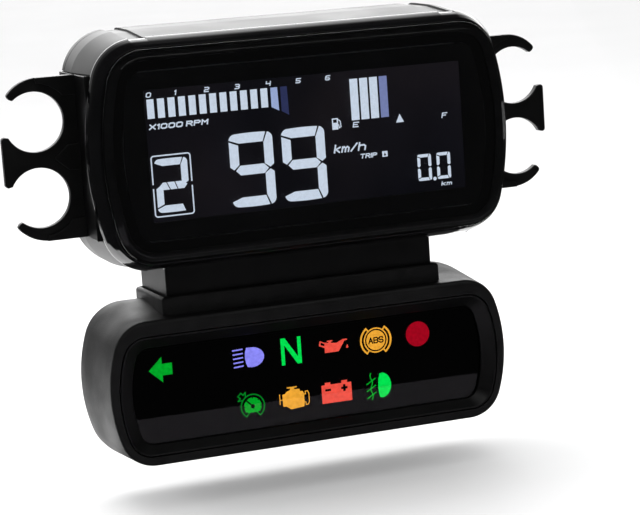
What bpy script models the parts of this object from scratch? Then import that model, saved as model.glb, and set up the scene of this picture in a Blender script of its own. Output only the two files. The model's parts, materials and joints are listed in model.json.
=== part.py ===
"""Motorcycle instrument cluster: an upper gauge, and a lamp panel that plugs on below it.

Lengths are in millimetres and are turned into metres when a mesh is made.  X is to the
rider's right, "depth" runs from the front of the gauge lens towards the rear (+Y), and Z is
up from the middle of the gauge.  The world origin is the middle of the rear mounting face.
"""
import math

import bmesh
import bpy
from mathutils import Matrix, Vector

MM = 0.001
GAP = 0.3                    # clearance between pieces that touch in the real object
REAR = 58.0                  # depth of the rear mounting face

# Gauge: a rectangle with bowed ends and round corners, measured on the edge of its lens
LENS_W, LENS_H = 70.6, 34.8  # half width, half height
LENS_ARC, LENS_R = 100.3, 12.45  # radius of the bowed ends, radius of the corners
LENS_T = 3.2
GASKET_T = 0.6
LENS_BEVEL = 2.3
RIM_OUT = 3.5                # how far the bezel's rim stands out beyond the lens
RIM_DEPTH = 11.8
RIM_NOTCH = 0.45             # how deep the grooves nick the rim
SEAM_DEPTH = 44.8            # where the rear case meets the housing
CASE_BACK = 56.0
CASE_ROUND = 7.0
CAVITY_W, CAVITY_H = 65.5, 36.0
GROOVE_IN, GROOVE_OUT, GROOVE_T = 51.3, 57.1, 0.65  # grooves along the top and the bottom
WINDOW_W, WINDOW_H = 55.2, 21.6  # part of the display that the mask leaves open
CORNERS = [(side, way) for side in (-1, 1) for way in (-1, 1)]  # bottom or top, left or right
PILLARS = [(x, z) for x in (-56.0, 56.0) for z in (-22.0, 22.0)]
BOARD_W, BOARD_H = 62.0, 28.0
BOARD_DEPTH, BOARD_T = 26.0, 1.6
INSERT_X = 24.0
CONNECTOR_X = 49.0
PLUG_W, PLUG_H = 12.0, 8.0   # half width and half height of the connector's shell
BUTTON_X, BUTTON_Z = -48.0, -8.0
VENT_Z = 14.0
PIN_PITCH = 3.2
BUTTON_TRAVEL = 1.0

# Clip plates
CLIP_X, CLIP_Z, CLIP_R = 86.3, 12.6, 10.0  # centres and radius of the two C-shaped clips
CLIP_DEPTH, CLIP_T = 28.8, 3.0
CLIP_TIP_X = 97.6
FLANGE_OUT, FLANGE_T, FLANGE_H = 72.0, 2.0, 27.1
FLANGE_FRONT, FLANGE_REAR = 13.7, 50.0
CLIP_SCREW_Z = 22

# Neck and lamp panel
NECK_W, NECK_FRONT, NECK_REAR, NECK_END = 48.0, 22.4, 55.5, -61.5
NECK_SCREW_X = 42.0
SCREW_DEPTH = (32.0, 38.0)   # of the neck's screws and of the clip plates' screws
COLLAR_W, COLLAR_FRONT, COLLAR_REAR = 50.2, 20.2, 57.0
COLLAR_TOP_FRONT, COLLAR_TOP_REAR, COLLAR_BOTTOM = -49.3, -50.8, -63.5
PANEL_Z = -80.7              # middle of the lamp panel
PANEL_W, PANEL_H, PANEL_ARC, PANEL_R = 71.45, 24.67, 51.4, 12.1
PANEL_FRONT, PANEL_BACK = 15.7, 54.0
PANEL_FLARE, PANEL_ROUND = 2.3, 5.0
FRAME_W, FRAME_H, FRAME_Z = 68.5, 20.6, -81.7  # opening that holds the inner bezel
GLASS_W, GLASS_H, GLASS_Z = 63.4, 16.6, -82.1  # clear part of the lamp window
PANEL_CAVITY_W, PANEL_CAVITY_H, PANEL_CAVITY_Z = 64.0, 17.1, -83.6
COVER_LEDGE = 49.9
COVER_SCREWS = [(x, z) for x in (-59.5, 59.5) for z in (-94.0, -73.2)]
LAMP_ROWS = {-73.2: (-53.5, -22.6, -7.0, 8.6, 24.1, 39.6, 53.5), -89.5: (-22.6, -7.0, 8.6, 24.1)}
CELL_W, CELL_H = 13.6, 10.8

ARC_STEPS = 5                # segments in a quarter of a rounded corner


def point(x, depth, z):
    """World position, in metres, of a place given in millimetres."""
    return Vector((x, depth - REAR, z)) * MM


def outline(half_w, half_h, arc, radius, mid_z=0.0, steps=ARC_STEPS):
    """Points (x, z) round a rectangle with ends bowed to the radius arc and rounded corners."""
    centre_x = half_w - arc
    corner_z = half_h - radius
    corner_x = centre_x + math.sqrt((arc - radius) ** 2 - corner_z ** 2)
    lean = math.asin(corner_z / (arc - radius))
    right = []
    for i in range(steps + 1):
        turn = math.pi / 2 + (lean - math.pi / 2) * i / steps
        right.append((corner_x + radius * math.cos(turn), corner_z + radius * math.sin(turn)))
    for i in range(1, steps):
        turn = lean - 2 * lean * i / steps
        right.append((centre_x + arc * math.cos(turn), arc * math.sin(turn)))
    for i in range(steps + 1):
        turn = -lean - (math.pi / 2 - lean) * i / steps
        right.append((corner_x + radius * math.cos(turn), -corner_z + radius * math.sin(turn)))
    left = [(-x, z) for x, z in reversed(right)]
    return [(x, z + mid_z) for x, z in right + left]


def lens_outline(grow, rise=None):
    """The gauge's outline, grown by so much at its ends and by rise at its top and bottom."""
    rise = grow if rise is None else rise
    return outline(LENS_W + grow, LENS_H + rise, LENS_ARC + grow, LENS_R + min(grow, rise))


def panel_outline(grow):
    return outline(PANEL_W + grow, PANEL_H + grow, PANEL_ARC + grow, PANEL_R + grow, PANEL_Z)


def rectangle(half_w, half_h, radius=1.0, mid_x=0.0, mid_z=0.0, steps=3):
    """Points (x, z) round a plain rectangle with rounded corners."""
    points = []
    for quarter, (sx, sz) in enumerate(((1, 1), (-1, 1), (-1, -1), (1, -1))):
        for i in range(steps + 1):
            turn = (quarter + i / steps) * math.pi / 2
            x = sx * (half_w - radius) + radius * math.cos(turn)
            z = sz * (half_h - radius) + radius * math.sin(turn)
            points.append((mid_x + x, mid_z + z))
    return points


def material(name, colour, rough, metal=0.0, alpha=1.0):
    made = bpy.data.materials.get(name)
    if made is None:
        made = bpy.data.materials.new(name)
        made.use_nodes = True
        shader = made.node_tree.nodes["Principled BSDF"]
        shader.inputs["Base Color"].default_value = (*colour, 1.0)
        shader.inputs["Roughness"].default_value = rough
        shader.inputs["Metallic"].default_value = metal
        shader.inputs["Alpha"].default_value = alpha
        made.diffuse_color = (*colour, alpha)
    return made


def add_object(name, bm, finish=None):
    """Turn a bmesh into an object: a part if it has a finish, else a hidden cutter."""
    bmesh.ops.recalc_face_normals(bm, faces=bm.faces)
    mesh = bpy.data.meshes.new(name)
    bm.to_mesh(mesh)
    bm.free()
    made = bpy.data.objects.new(name, mesh)
    if finish:
        parts.objects.link(made)
        mesh.materials.append(finish)
    else:
        cutters.objects.link(made)
        made.hide_render = True
        made.display_type = "WIRE"
    return made


def loft(name, sections, finish=None):
    """A solid through outlines at rising depths: the first is drawn, then pulled through the rest."""
    bm = bmesh.new()
    order = bm.verts.layers.int.new("order")
    points, depth = sections[0]
    verts = [bm.verts.new(point(x, depth, z)) for x, z in points]
    for i, vert in enumerate(verts):
        vert[order] = i
    face = bm.faces.new(verts)
    for number, (points, depth) in enumerate(sections[1:]):
        pulled = bmesh.ops.extrude_face_region(bm, geom=[face])["geom"]
        if number:
            bmesh.ops.delete(bm, geom=[face], context="FACES_ONLY")
        face = next(item for item in pulled if isinstance(item, bmesh.types.BMFace))
        for vert in face.verts:
            x, z = points[vert[order]]
            vert.co = point(x, depth, z)
    return add_object(name, bm, finish)


def box(name, x, depth, z, finish=None, bevel=0.0):
    """A block between two values of x, of depth and of z."""
    size = Vector((x[1] - x[0], depth[1] - depth[0], z[1] - z[0])) * MM
    centre = point(sum(x) / 2, sum(depth) / 2, sum(z) / 2)
    bm = bmesh.new()
    bmesh.ops.create_cube(bm, size=1.0, matrix=Matrix.Translation(centre) @ Matrix.Diagonal(size).to_4x4())
    made = add_object(name, bm, finish)
    if bevel:
        round_edges(made, bevel)
    return made


def cylinder(name, x, depth, z, radius, finish=None, axis="Y", sides=24):
    """A round bar along depth, or along x when axis is X or z when axis is Z."""
    low, high = {"X": x, "Y": depth, "Z": z}[axis]
    middle = (low + high) / 2
    place = {"X": (middle, depth, z), "Y": (x, middle, z), "Z": (x, depth, middle)}[axis]
    spin = {"X": Matrix.Rotation(math.pi / 2, 4, "Y"), "Y": Matrix.Rotation(-math.pi / 2, 4, "X"),
            "Z": Matrix.Identity(4)}[axis]
    bm = bmesh.new()
    bmesh.ops.create_cone(bm, cap_ends=True, segments=sides, radius1=radius * MM, radius2=radius * MM,
                          depth=(high - low) * MM, matrix=Matrix.Translation(point(*place)) @ spin)
    return add_object(name, bm, finish)


def turned(name, profile, place, finish, axis="Y", steps=24, flip=False):
    """A turned piece: profile lists (radius, height) from the foot up, and Screw spins it.

    A profile that ends where it starts makes a ring.
    """
    ring = profile[0] == profile[-1]
    corners = profile[:-1] if ring else profile
    bm = bmesh.new()
    verts = [bm.verts.new((radius * MM, 0.0, height * MM)) for radius, height in corners]
    for first, second in zip(verts, verts[1:] + verts[:1] if ring else verts[1:]):
        bm.edges.new((first, second))
    mesh = bpy.data.meshes.new(name)
    bm.to_mesh(mesh)
    bm.free()
    made = bpy.data.objects.new(name, mesh)
    parts.objects.link(made)
    mesh.materials.append(finish)
    spin = made.modifiers.new("Screw", "SCREW")
    spin.steps = spin.render_steps = steps
    spin.use_merge_vertices = True
    spin.merge_threshold = 0.00002
    spin.use_normal_calculate = True
    spin.use_normal_flip = flip
    made.location = point(*place)
    made.rotation_euler = {"Y": (-math.pi / 2, 0, 0), "-X": (0, -math.pi / 2, 0),
                           "X": (0, math.pi / 2, 0), "Z": (0, 0, 0)}[axis]
    return made


def screw_profile(shank, length, head, thickness):
    """Profile of a pan-head screw with a short point, from the point up."""
    top = length + thickness
    return [(0, 0), (shank - 0.5, 0), (shank, 0.8), (shank, length), (head, length),
            (head, top - thickness * 0.45), (head - 0.5, top), (0, top)]


def combine(target, other, operation):
    change = target.modifiers.new(operation.title() + " " + other.name, "BOOLEAN")
    change.operation = operation
    change.solver = "EXACT"
    change.object = other
    return target


def cut(target, *others):
    for other in others:
        combine(target, other, "DIFFERENCE")
    return target


def join(target, *others):
    for other in others:
        combine(target, other, "UNION")
    return target


def round_edges(target, width, segments=2, angle=40):
    bevel = target.modifiers.new("Rounded edges", "BEVEL")
    bevel.width = width * MM
    bevel.segments = segments
    bevel.limit_method = "ANGLE"
    bevel.angle_limit = math.radians(angle)
    return target


# ---------------------------------------------------------------- finishes

def make_finishes():
    return {
        "clear": material("clear_lens", (0.02, 0.02, 0.025), 0.05, alpha=0.35),
        "smoked": material("smoked_lens", (0.012, 0.012, 0.014), 0.06, alpha=0.6),
        "gloss": material("gloss_black", (0.012, 0.012, 0.014), 0.12),
        "satin": material("satin_black", (0.03, 0.03, 0.032), 0.42),
        "matt": material("grained_black", (0.035, 0.035, 0.037), 0.62),
        "smooth": material("smooth_dark", (0.03, 0.03, 0.032), 0.35),
        "clip": material("clip_nylon", (0.03, 0.03, 0.033), 0.48),
        "mask": material("mask_black", (0.01, 0.01, 0.012), 0.6),
        "glass": material("display_glass", (0.02, 0.02, 0.035), 0.1),
        "white": material("white_plastic", (0.75, 0.75, 0.73), 0.45),
        "guide": material("light_guide", (0.8, 0.84, 0.88), 0.15),
        "board": material("circuit_board", (0.02, 0.13, 0.06), 0.4),
        "chip": material("chip_black", (0.02, 0.02, 0.02), 0.5),
        "brass": material("brass", (0.72, 0.52, 0.22), 0.3, 1.0),
        "steel": material("steel", (0.55, 0.55, 0.56), 0.32, 1.0),
        "tin": material("tinned_copper", (0.75, 0.72, 0.66), 0.3, 1.0),
        "can": material("aluminium_can", (0.62, 0.63, 0.65), 0.35, 1.0),
        "rubber": material("black_rubber", (0.02, 0.02, 0.02), 0.75),
        "film": material("icon_film", (0.015, 0.015, 0.017), 0.5),
        "ribbon": material("flat_ribbon", (0.7, 0.38, 0.1), 0.45),
    }


# ---------------------------------------------------------------- gauge, front

def make_lens(finish):
    loft("upper_lens", [(lens_outline(-LENS_BEVEL), 0.0), (lens_outline(0.0), LENS_BEVEL),
                        (lens_outline(0.0), LENS_T)], finish["clear"])


def make_gasket(finish):
    front = LENS_T + GAP
    outer, inner = lens_outline(-1.3), lens_outline(-3.6)
    ring = loft("lens_gasket", [(outer, front), (outer, front + GASKET_T)], finish["rubber"])
    cut(ring, loft("gasket_hole", [(inner, front - 1), (inner, front + 2)]))


def make_bezel(finish):
    seat = LENS_T + 2 * GAP + GASKET_T
    slope = [(0.5, 3.5), (1.1, 4.4), (2.4, 7.4), (3.2, 9.8), (RIM_OUT, 10.9), (RIM_OUT, RIM_DEPTH)]
    bezel = loft("upper_bezel", [(lens_outline(grow), depth) for grow, depth in slope], finish["gloss"])
    cut(bezel,
        loft("gasket_seat", [(lens_outline(-0.9), 3.0), (lens_outline(-0.9), seat)]),
        loft("bezel_opening", [(lens_outline(-7.0), 3.0), (lens_outline(-7.0), 13.0)]))
    for i, (side, way) in enumerate(CORNERS):
        edge = side * (LENS_H + RIM_OUT - RIM_NOTCH)
        height = tuple(sorted((edge, edge + side * 3)))
        cut(bezel, box("rim_notch_%d" % i, groove_span(way), (9.0, 13.0), height))


def make_display(finish):
    edge, window = lens_outline(-7.3), rectangle(WINDOW_W, WINDOW_H)
    mask = loft("display_mask", [(edge, 4.7), (edge, 5.4)], finish["mask"])
    cut(mask, loft("mask_window", [(window, 4.0), (window, 6.0)]))
    box("display_glass", (-58, 58), (5.7, 7.9), (-24.3, 24.3), finish["glass"])
    box("light_guide", (-57.5, 57.5), (8.2, 11.0), (-23.0, 23.8), finish["guide"])
    strip = box("backlight_strip", (-50, 50), (8.3, 10.8), (-25.0, -24.2), finish["white"])
    for i in range(8):
        x = -43.75 + 12.5 * i
        join(strip, box("backlight_lamp_%d" % i, (x - 1.5, x + 1.5), (8.9, 10.3), (-24.4, -23.4)))


def make_carrier(finish):
    plate = [(lens_outline(-7.5), 11.3), (lens_outline(-7.5), 13.3)]
    carrier = loft("display_carrier", plate, finish["white"])
    for i, (x, z) in enumerate(PILLARS):
        join(carrier, cylinder("pillar_%d" % i, x, (13.0, SEAM_DEPTH), z, 3.5))
        cut(carrier, cylinder("pillar_bore_%d" % i, x, (34.0, 50.0), z, 1.7, sides=12))
    cut(carrier, box("pin_slot", (-41, 41), (10.0, 15.0), (-26.7, -24.6)))


def make_pin_row(finish):
    row = box("display_pins", (-39, 39), (15.0, 16.5), (-26.3, -25.2), finish["tin"])
    for i in range(14):
        x = -37.7 + 5.8 * i
        join(row, box("display_pin_%d" % i, (x - 0.4, x + 0.4), (8.3, BOARD_DEPTH - GAP), (-26.1, -25.4)))


# ---------------------------------------------------------------- gauge, circuit board

def make_board(finish):
    back = BOARD_DEPTH + BOARD_T
    edge = rectangle(BOARD_W, BOARD_H, 4)
    board = loft("main_board", [(edge, BOARD_DEPTH), (edge, back)], finish["board"])
    for i, (x, z) in enumerate(PILLARS):
        cut(board, cylinder("board_hole_%d" % i, x, (BOARD_DEPTH - 2, back + 2), z, 3.9))
    front = back + GAP
    box("controller_chip", (-12, 2), (front, front + 1.6), (0, 14), finish["chip"], 0.3)
    box("memory_chip", (10, 18), (front, front + 1.4), (8, 14), finish["chip"], 0.3)
    buzzer = [(0, 0), (6, 0), (6, 5.4), (5.4, 6), (1, 6), (1, 5.2), (0, 5.2)]
    turned("buzzer", buzzer, (-28, front, 10), finish["chip"])
    can = [(0, 0), (4, 0), (4, 0.8), (3.7, 1.1), (4, 1.4), (4, 10.6), (3.6, 11), (0, 11)]
    for i, z in enumerate((-14.0, 14.0)):
        turned("capacitor_%d" % (i + 1), can, (28, front, z), finish["can"], steps=20)
    box("ribbon_header", (-11, 11), (front, front + 2.6), (-27, -23), finish["white"])


def make_strip(name, bend, half_width, finish):
    """A flat ribbon: a bent line of (depth, z) points drawn out sideways and thickened."""
    bm = bmesh.new()
    verts = [bm.verts.new(point(-half_width, depth, z)) for depth, z in bend]
    edges = [bm.edges.new(pair) for pair in zip(verts, verts[1:])]
    pulled = bmesh.ops.extrude_edge_only(bm, edges=edges)["geom"]
    moved = [item for item in pulled if isinstance(item, bmesh.types.BMVert)]
    bmesh.ops.translate(bm, verts=moved, vec=Vector((2 * half_width * MM, 0, 0)))
    ribbon = add_object(name, bm, finish)
    thick = ribbon.modifiers.new("Thickness", "SOLIDIFY")
    thick.thickness = 0.25 * MM
    thick.offset = 0


def make_ribbon(finish):
    """The ribbon from the board's header, down through the neck, to the contact pins."""
    front = BOARD_DEPTH + BOARD_T + 2.6 + 2 * GAP
    bend = [(front, -25.0), (front + 1.8, -25.6), (front + 3.0, -27.4), (front + 3.4, -30.0),
            (front + 3.4, -44.0), (front + 4.4, -46.6), (front + 6.8, -48.0), (41.0, -49.0), (42.0, -50.8)]
    make_strip("indicator_ribbon", bend, 10, finish["ribbon"])


# ---------------------------------------------------------------- gauge, housing

def shell_sections(grow=0.0, rise=0.0):
    """Outside of the housing and rear case, from the rim to the back, as (outline, depth)."""
    body = [(3.1, 3.1, RIM_DEPTH + GAP), (5.0, 5.1, 33.0), (4.6, 5.4, 45.0),
            (4.2, 5.4, CASE_BACK - CASE_ROUND)]
    sections = [(lens_outline(w + grow, h + rise), depth) for w, h, depth in body]
    for i in range(1, 6):
        turn = i / 5 * math.pi / 2
        drop = CASE_ROUND * (1 - math.cos(turn))
        depth = CASE_BACK - CASE_ROUND * (1 - math.sin(turn))
        sections.append((lens_outline(4.2 - drop + grow, 5.4 - drop + rise), depth))
    return sections


def cavity(grow=0.0):
    return outline(CAVITY_W + grow, CAVITY_H + grow, LENS_ARC - 5 + grow, 9.0 + grow)


def groove_span(way):
    return tuple(sorted((way * GROOVE_IN, way * GROOVE_OUT)))


def shell_cutters(tag):
    """The grooves, and the pockets in the sides that take the clip plates' flanges."""
    made = []
    core = shell_sections(0, -GROOVE_T)
    core.insert(0, (core[0][0], RIM_DEPTH - 4))
    for i, (side, way) in enumerate(CORNERS):
        height = tuple(sorted((side * 30, side * 50)))
        groove = box("groove_%s_%d" % (tag, i), groove_span(way), (RIM_DEPTH - 2, 60), height)
        cut(groove, loft("groove_core_%s_%d" % (tag, i), core))
        made.append(groove)
    inner = FLANGE_OUT - FLANGE_T - GAP
    for way in (-1, 1):
        x = tuple(sorted((way * inner, way * 90)))
        made.append(box("pocket_%s_%d" % (tag, way), x, (FLANGE_FRONT - GAP, 60),
                        (-FLANGE_H - GAP, FLANGE_H + GAP)))
    return made


def make_housing(finish):
    outer = [section for section in shell_sections() if section[1] < SEAM_DEPTH]
    outer.append((lens_outline(4.6, 5.4), SEAM_DEPTH))
    housing = loft("upper_housing", outer, finish["satin"])
    cut(housing, loft("housing_cavity", [(cavity(), 10.0), (cavity(), 50.0)]),
        loft("seal_rabbet", [(cavity(2.4), SEAM_DEPTH - 0.9), (cavity(2.4), 50.0)]),
        *shell_cutters("housing"),
        box("tenon_hole", (-36.4, 36.4), (26.6, 41.4), (-46, -34)))
    for side in (-1, 1):
        cut(housing, cylinder("neck_screw_hole_%d" % side, side * NECK_SCREW_X, SCREW_DEPTH[0],
                              (-46, -34), 1.8, axis="Z", sides=16))
        for z in (-CLIP_SCREW_Z, CLIP_SCREW_Z):
            x = tuple(sorted((side * 60, side * 80)))
            cut(housing, cylinder("flange_screw_hole_%d_%d" % (side, z), x, SCREW_DEPTH[1], z, 1.6,
                                  axis="X", sides=16))
    outer, inner = cavity(2.1), cavity(0.3)
    ring = loft("housing_seal", [(outer, SEAM_DEPTH - 0.6), (outer, SEAM_DEPTH)], finish["rubber"])
    cut(ring, loft("seal_hole", [(inner, SEAM_DEPTH - 3), (inner, SEAM_DEPTH + 3)]))


def make_rear_case(finish):
    front = SEAM_DEPTH + GAP
    rear = [section for section in shell_sections() if section[1] > 46]
    case = loft("rear_case", [(lens_outline(4.6, 5.4), front)] + rear, finish["satin"])
    taper = outline(CAVITY_W - 4, CAVITY_H - 5, LENS_ARC - 9, 5.0)
    cut(case, loft("case_cavity", [(cavity(), 40.0), (cavity(), 49.0), (taper, 53.6)]),
        *shell_cutters("case"))
    join(case, loft("mount_pad", [(rectangle(33, 15, 4), CASE_BACK - 1), (rectangle(33, 15, 4), REAR - 0.5),
                                  (rectangle(32.5, 14.5, 3.5), REAR)]))
    for side in (-1, 1):
        join(case, cylinder("insert_boss_%d" % side, side * INSERT_X, (48, 54), 0, 5.6))
        cut(case, cylinder("insert_hole_%d" % side, side * INSERT_X, (49.5, 60), 0, 3.7))
    reach, height = PLUG_W + GAP, PLUG_H + GAP
    cut(case, box("connector_hole", (CONNECTOR_X - reach, CONNECTOR_X + reach), (50, 60), (-height, height)),
        cylinder("button_hole", BUTTON_X, (50, 60), BUTTON_Z, 4.9),
        cylinder("vent_hole", BUTTON_X, (50, 60), VENT_Z, 3.3))
    for i, (x, z) in enumerate(PILLARS):
        cut(case, cylinder("screw_hole_%d" % i, x, (50, 60), z, 1.8, sides=16),
            cylinder("screw_recess_%d" % i, x, (CASE_BACK - 1.4, 60), z, 3.4))


def make_rear_fittings(finish):
    tube = [(2.1, 0), (2.1, 8.1), (3.4, 8.1), (3.4, 4.6), (3.1, 4.4), (3.1, 3.6), (3.4, 3.4),
            (3.4, 0), (2.1, 0)]
    for side, name in ((-1, "left"), (1, "right")):
        turned("insert_" + name, tube, (side * INSERT_X, 49.8, 0), finish["brass"], flip=True)
    screw = screw_profile(1.4, 13.9, 2.9, 1.6)
    for i, (x, z) in enumerate(PILLARS):
        made = turned("case_screw_%d" % (i + 1), screw, (x, 41.0, z), finish["steel"], steps=20)
        cut(made, cylinder("case_drive_%d" % i, x, (55.6, 60), z, 1.3, sides=6))
    vent = [(0, 0), (3.0, 0), (3.0, 2.9), (4.4, 2.9), (4.4, 3.6), (3.8, 4.1), (1.2, 4.1), (1.2, 3.3),
            (0, 3.3)]
    turned("vent_plug", vent, (BUTTON_X, CASE_BACK + GAP - 2.9, VENT_Z), finish["rubber"])


def make_connector(finish):
    shell = box("connector_shell", (CONNECTOR_X - PLUG_W, CONNECTOR_X + PLUG_W), (33.0, CASE_BACK - 0.4),
                (-PLUG_H, PLUG_H), finish["chip"], 0.6)
    cut(shell, box("connector_socket", (CONNECTOR_X - 10.4, CONNECTOR_X + 10.4), (42.0, 60), (-6.4, 6.4)))
    pins = box("connector_pins", (CONNECTOR_X - 9.5, CONNECTOR_X + 9.5), (30.6, 32.0), (-4.5, 4.5),
               finish["tin"])
    for row in (-PIN_PITCH, PIN_PITCH):
        for i in range(6):
            x = CONNECTOR_X + PIN_PITCH * (i - 2.5)
            join(pins, box("pin_%d_%g" % (i, row), (x - 0.5, x + 0.5), (27.9, 51.0), (row - 0.5, row + 0.5)))
            way = box("pin_way_%d_%g" % (i, row), (x - 0.8, x + 0.8), (30.0, 44.0), (row - 0.8, row + 0.8))
            cut(shell, way)


def make_button(finish):
    switch_front = BOARD_DEPTH + BOARD_T + GAP
    box("button_switch", (BUTTON_X - 3.1, BUTTON_X + 3.1), (switch_front, switch_front + 4.0),
        (BUTTON_Z - 3.1, BUTTON_Z + 3.1), finish["chip"], 0.3)
    foot = switch_front + 4.0 + GAP + BUTTON_TRAVEL
    height = 58.4 - foot
    stem = [(0, 0), (1.5, 0), (1.5, 19.0), (5.6, 19.0), (5.6, 20.0), (4.6, 20.2), (4.6, height - 1.2),
            (4.2, height - 0.4), (3.4, height), (0, height)]
    turned("trip_button", stem, (BUTTON_X, foot, BUTTON_Z), finish["rubber"], steps=28)


# ---------------------------------------------------------------- clip plates

def arc_points(mid_z, radius, start, end, steps):
    """Points (x, z) on an arc round a clip's centre; zero degrees points outwards."""
    turns = [math.radians(start + (end - start) * i / steps) for i in range(steps + 1)]
    return [(CLIP_X + radius * math.cos(turn), mid_z + radius * math.sin(turn)) for turn in turns]


def clip_outline():
    """Outline of a right-hand clip plate: an upper half, then its mirror image."""
    tip = [(CLIP_TIP_X, 7.2), (CLIP_TIP_X - 0.3, 8.0), (CLIP_TIP_X - 1.1, 8.4)]
    hole = arc_points(CLIP_Z, CLIP_R, -27, -310, 28)
    arm_end = [(CLIP_X + reach * math.cos(math.radians(turn)), CLIP_Z + reach * math.sin(math.radians(turn)))
               for reach, turn in ((10.7, 47.6), (11.8, 46.4), (12.6, 48.0))]
    back = []
    for i in range(1, 7):
        turn = math.radians(48 + 46 * i / 6)
        reach = 12.6 + 1.9 * i / 6
        back.append((CLIP_X + reach * math.cos(turn), CLIP_Z + reach * math.sin(turn)))
    upper = tip + hole + arm_end + back + [(FLANGE_OUT - FLANGE_T, FLANGE_H)]
    return upper + [(x, -z) for x, z in reversed(upper)]


def make_clip(finish, side, name):
    """A plate with two C-shaped clips, three raised bosses and a flange along the housing."""
    def mirrored(points):
        return [(side * x, z) for x, z in points]

    plate = mirrored(clip_outline())
    clip = loft("clip_plate_" + name, [(plate, CLIP_DEPTH), (plate, CLIP_DEPTH + CLIP_T)], finish["clip"])
    root = FLANGE_OUT - 1.0
    middle = mirrored([(root, 4.4), (75.8, 4.3), (80.3, 0.6), (80.3, -0.6), (75.8, -4.3), (root, -4.4)])
    raised = (CLIP_DEPTH - 0.8, CLIP_DEPTH + 1.0)
    join(clip, loft("middle_boss_" + name, [(middle, raised[0]), (middle, raised[1])]))
    for half in (-1, 1):
        arc = arc_points(CLIP_Z, 12.8, 97, 141, 6)
        corner = [(root, 20.4), (root, FLANGE_H), (85.2, FLANGE_H)]
        boss = mirrored([(x, half * z) for x, z in arc + corner])
        join(clip, loft("boss_%s_%d" % (name, half), [(boss, raised[0]), (boss, raised[1])]))
    x = tuple(sorted((side * (FLANGE_OUT - FLANGE_T), side * FLANGE_OUT)))
    join(clip, box("flange_" + name, x, (FLANGE_FRONT, FLANGE_REAR), (-FLANGE_H, FLANGE_H)))
    bore = tuple(sorted((side * 60, side * 80)))
    screw = screw_profile(1.3, 10.3, 2.8, 1.7)
    drive = tuple(sorted((side * 73.2, side * 80)))
    for half in (-1, 1):
        z = half * CLIP_SCREW_Z
        cut(clip, cylinder("scallop_%s_%d" % (name, half), bore, FLANGE_FRONT - 2.4, half * CLIP_Z, 5.5,
                           axis="X"),
            cylinder("flange_bore_%s_%d" % (name, half), bore, SCREW_DEPTH[1], z, 1.7, axis="X", sides=16))
        label = "clip_screw_%s_%s" % (name, "upper" if half > 0 else "lower")
        made = turned(label, screw, (side * 62.0, SCREW_DEPTH[1], z), finish["steel"],
                      axis="X" if side > 0 else "-X", steps=20)
        cut(made, cylinder("drive_" + label, drive, SCREW_DEPTH[1], z, 1.2, axis="X", sides=6))


# ---------------------------------------------------------------- neck

def make_neck(finish):
    neck = box("neck", (-NECK_W, NECK_W), (NECK_FRONT, NECK_REAR), (NECK_END, -37), finish["satin"])
    cut(neck, loft("neck_saddle", shell_sections(GAP, GAP)))
    join(neck, box("tenon", (-36, 36), (27, 41), (-42, -33)))
    cut(neck, box("neck_passage", (-30, 30), (30, 38), (-50, -30)),
        box("neck_chamber", (-30, 30), (30, 46), (-65, -45)))
    screw = screw_profile(1.3, 14.3, 2.7, 1.7)
    for side, name in ((-1, "left"), (1, "right")):
        x = side * NECK_SCREW_X
        cut(neck, cylinder("neck_bore_%d" % side, x, SCREW_DEPTH[0], (-52, -34), 1.7, axis="Z", sides=16))
        turned("neck_screw_" + name, screw, (x, SCREW_DEPTH[0], -50), finish["steel"], axis="Z", steps=20)
    block = box("contact_block", (-29.7, 29.7), (30.3, 45.7), (-61.2, -53), finish["chip"], 0.4)
    pins = box("contact_pins", (-24, 24), (41.2, 42.8), (-52.4, -51.2), finish["tin"])
    for i in range(8):
        x = -21 + 6 * i
        join(pins, box("contact_pin_%d" % i, (x - 0.6, x + 0.6), (41.4, 42.6), (-67, -51.6)))
        cut(block, box("contact_way_%d" % i, (x - 0.9, x + 0.9), (41.1, 42.9), (-63, -50)))


# ---------------------------------------------------------------- lamp panel

def cavity_outline(grow_w, grow_h):
    return outline(PANEL_CAVITY_W + grow_w, PANEL_CAVITY_H + grow_h, 45 + grow_w, 5.0 + grow_h,
                   PANEL_CAVITY_Z)


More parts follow.
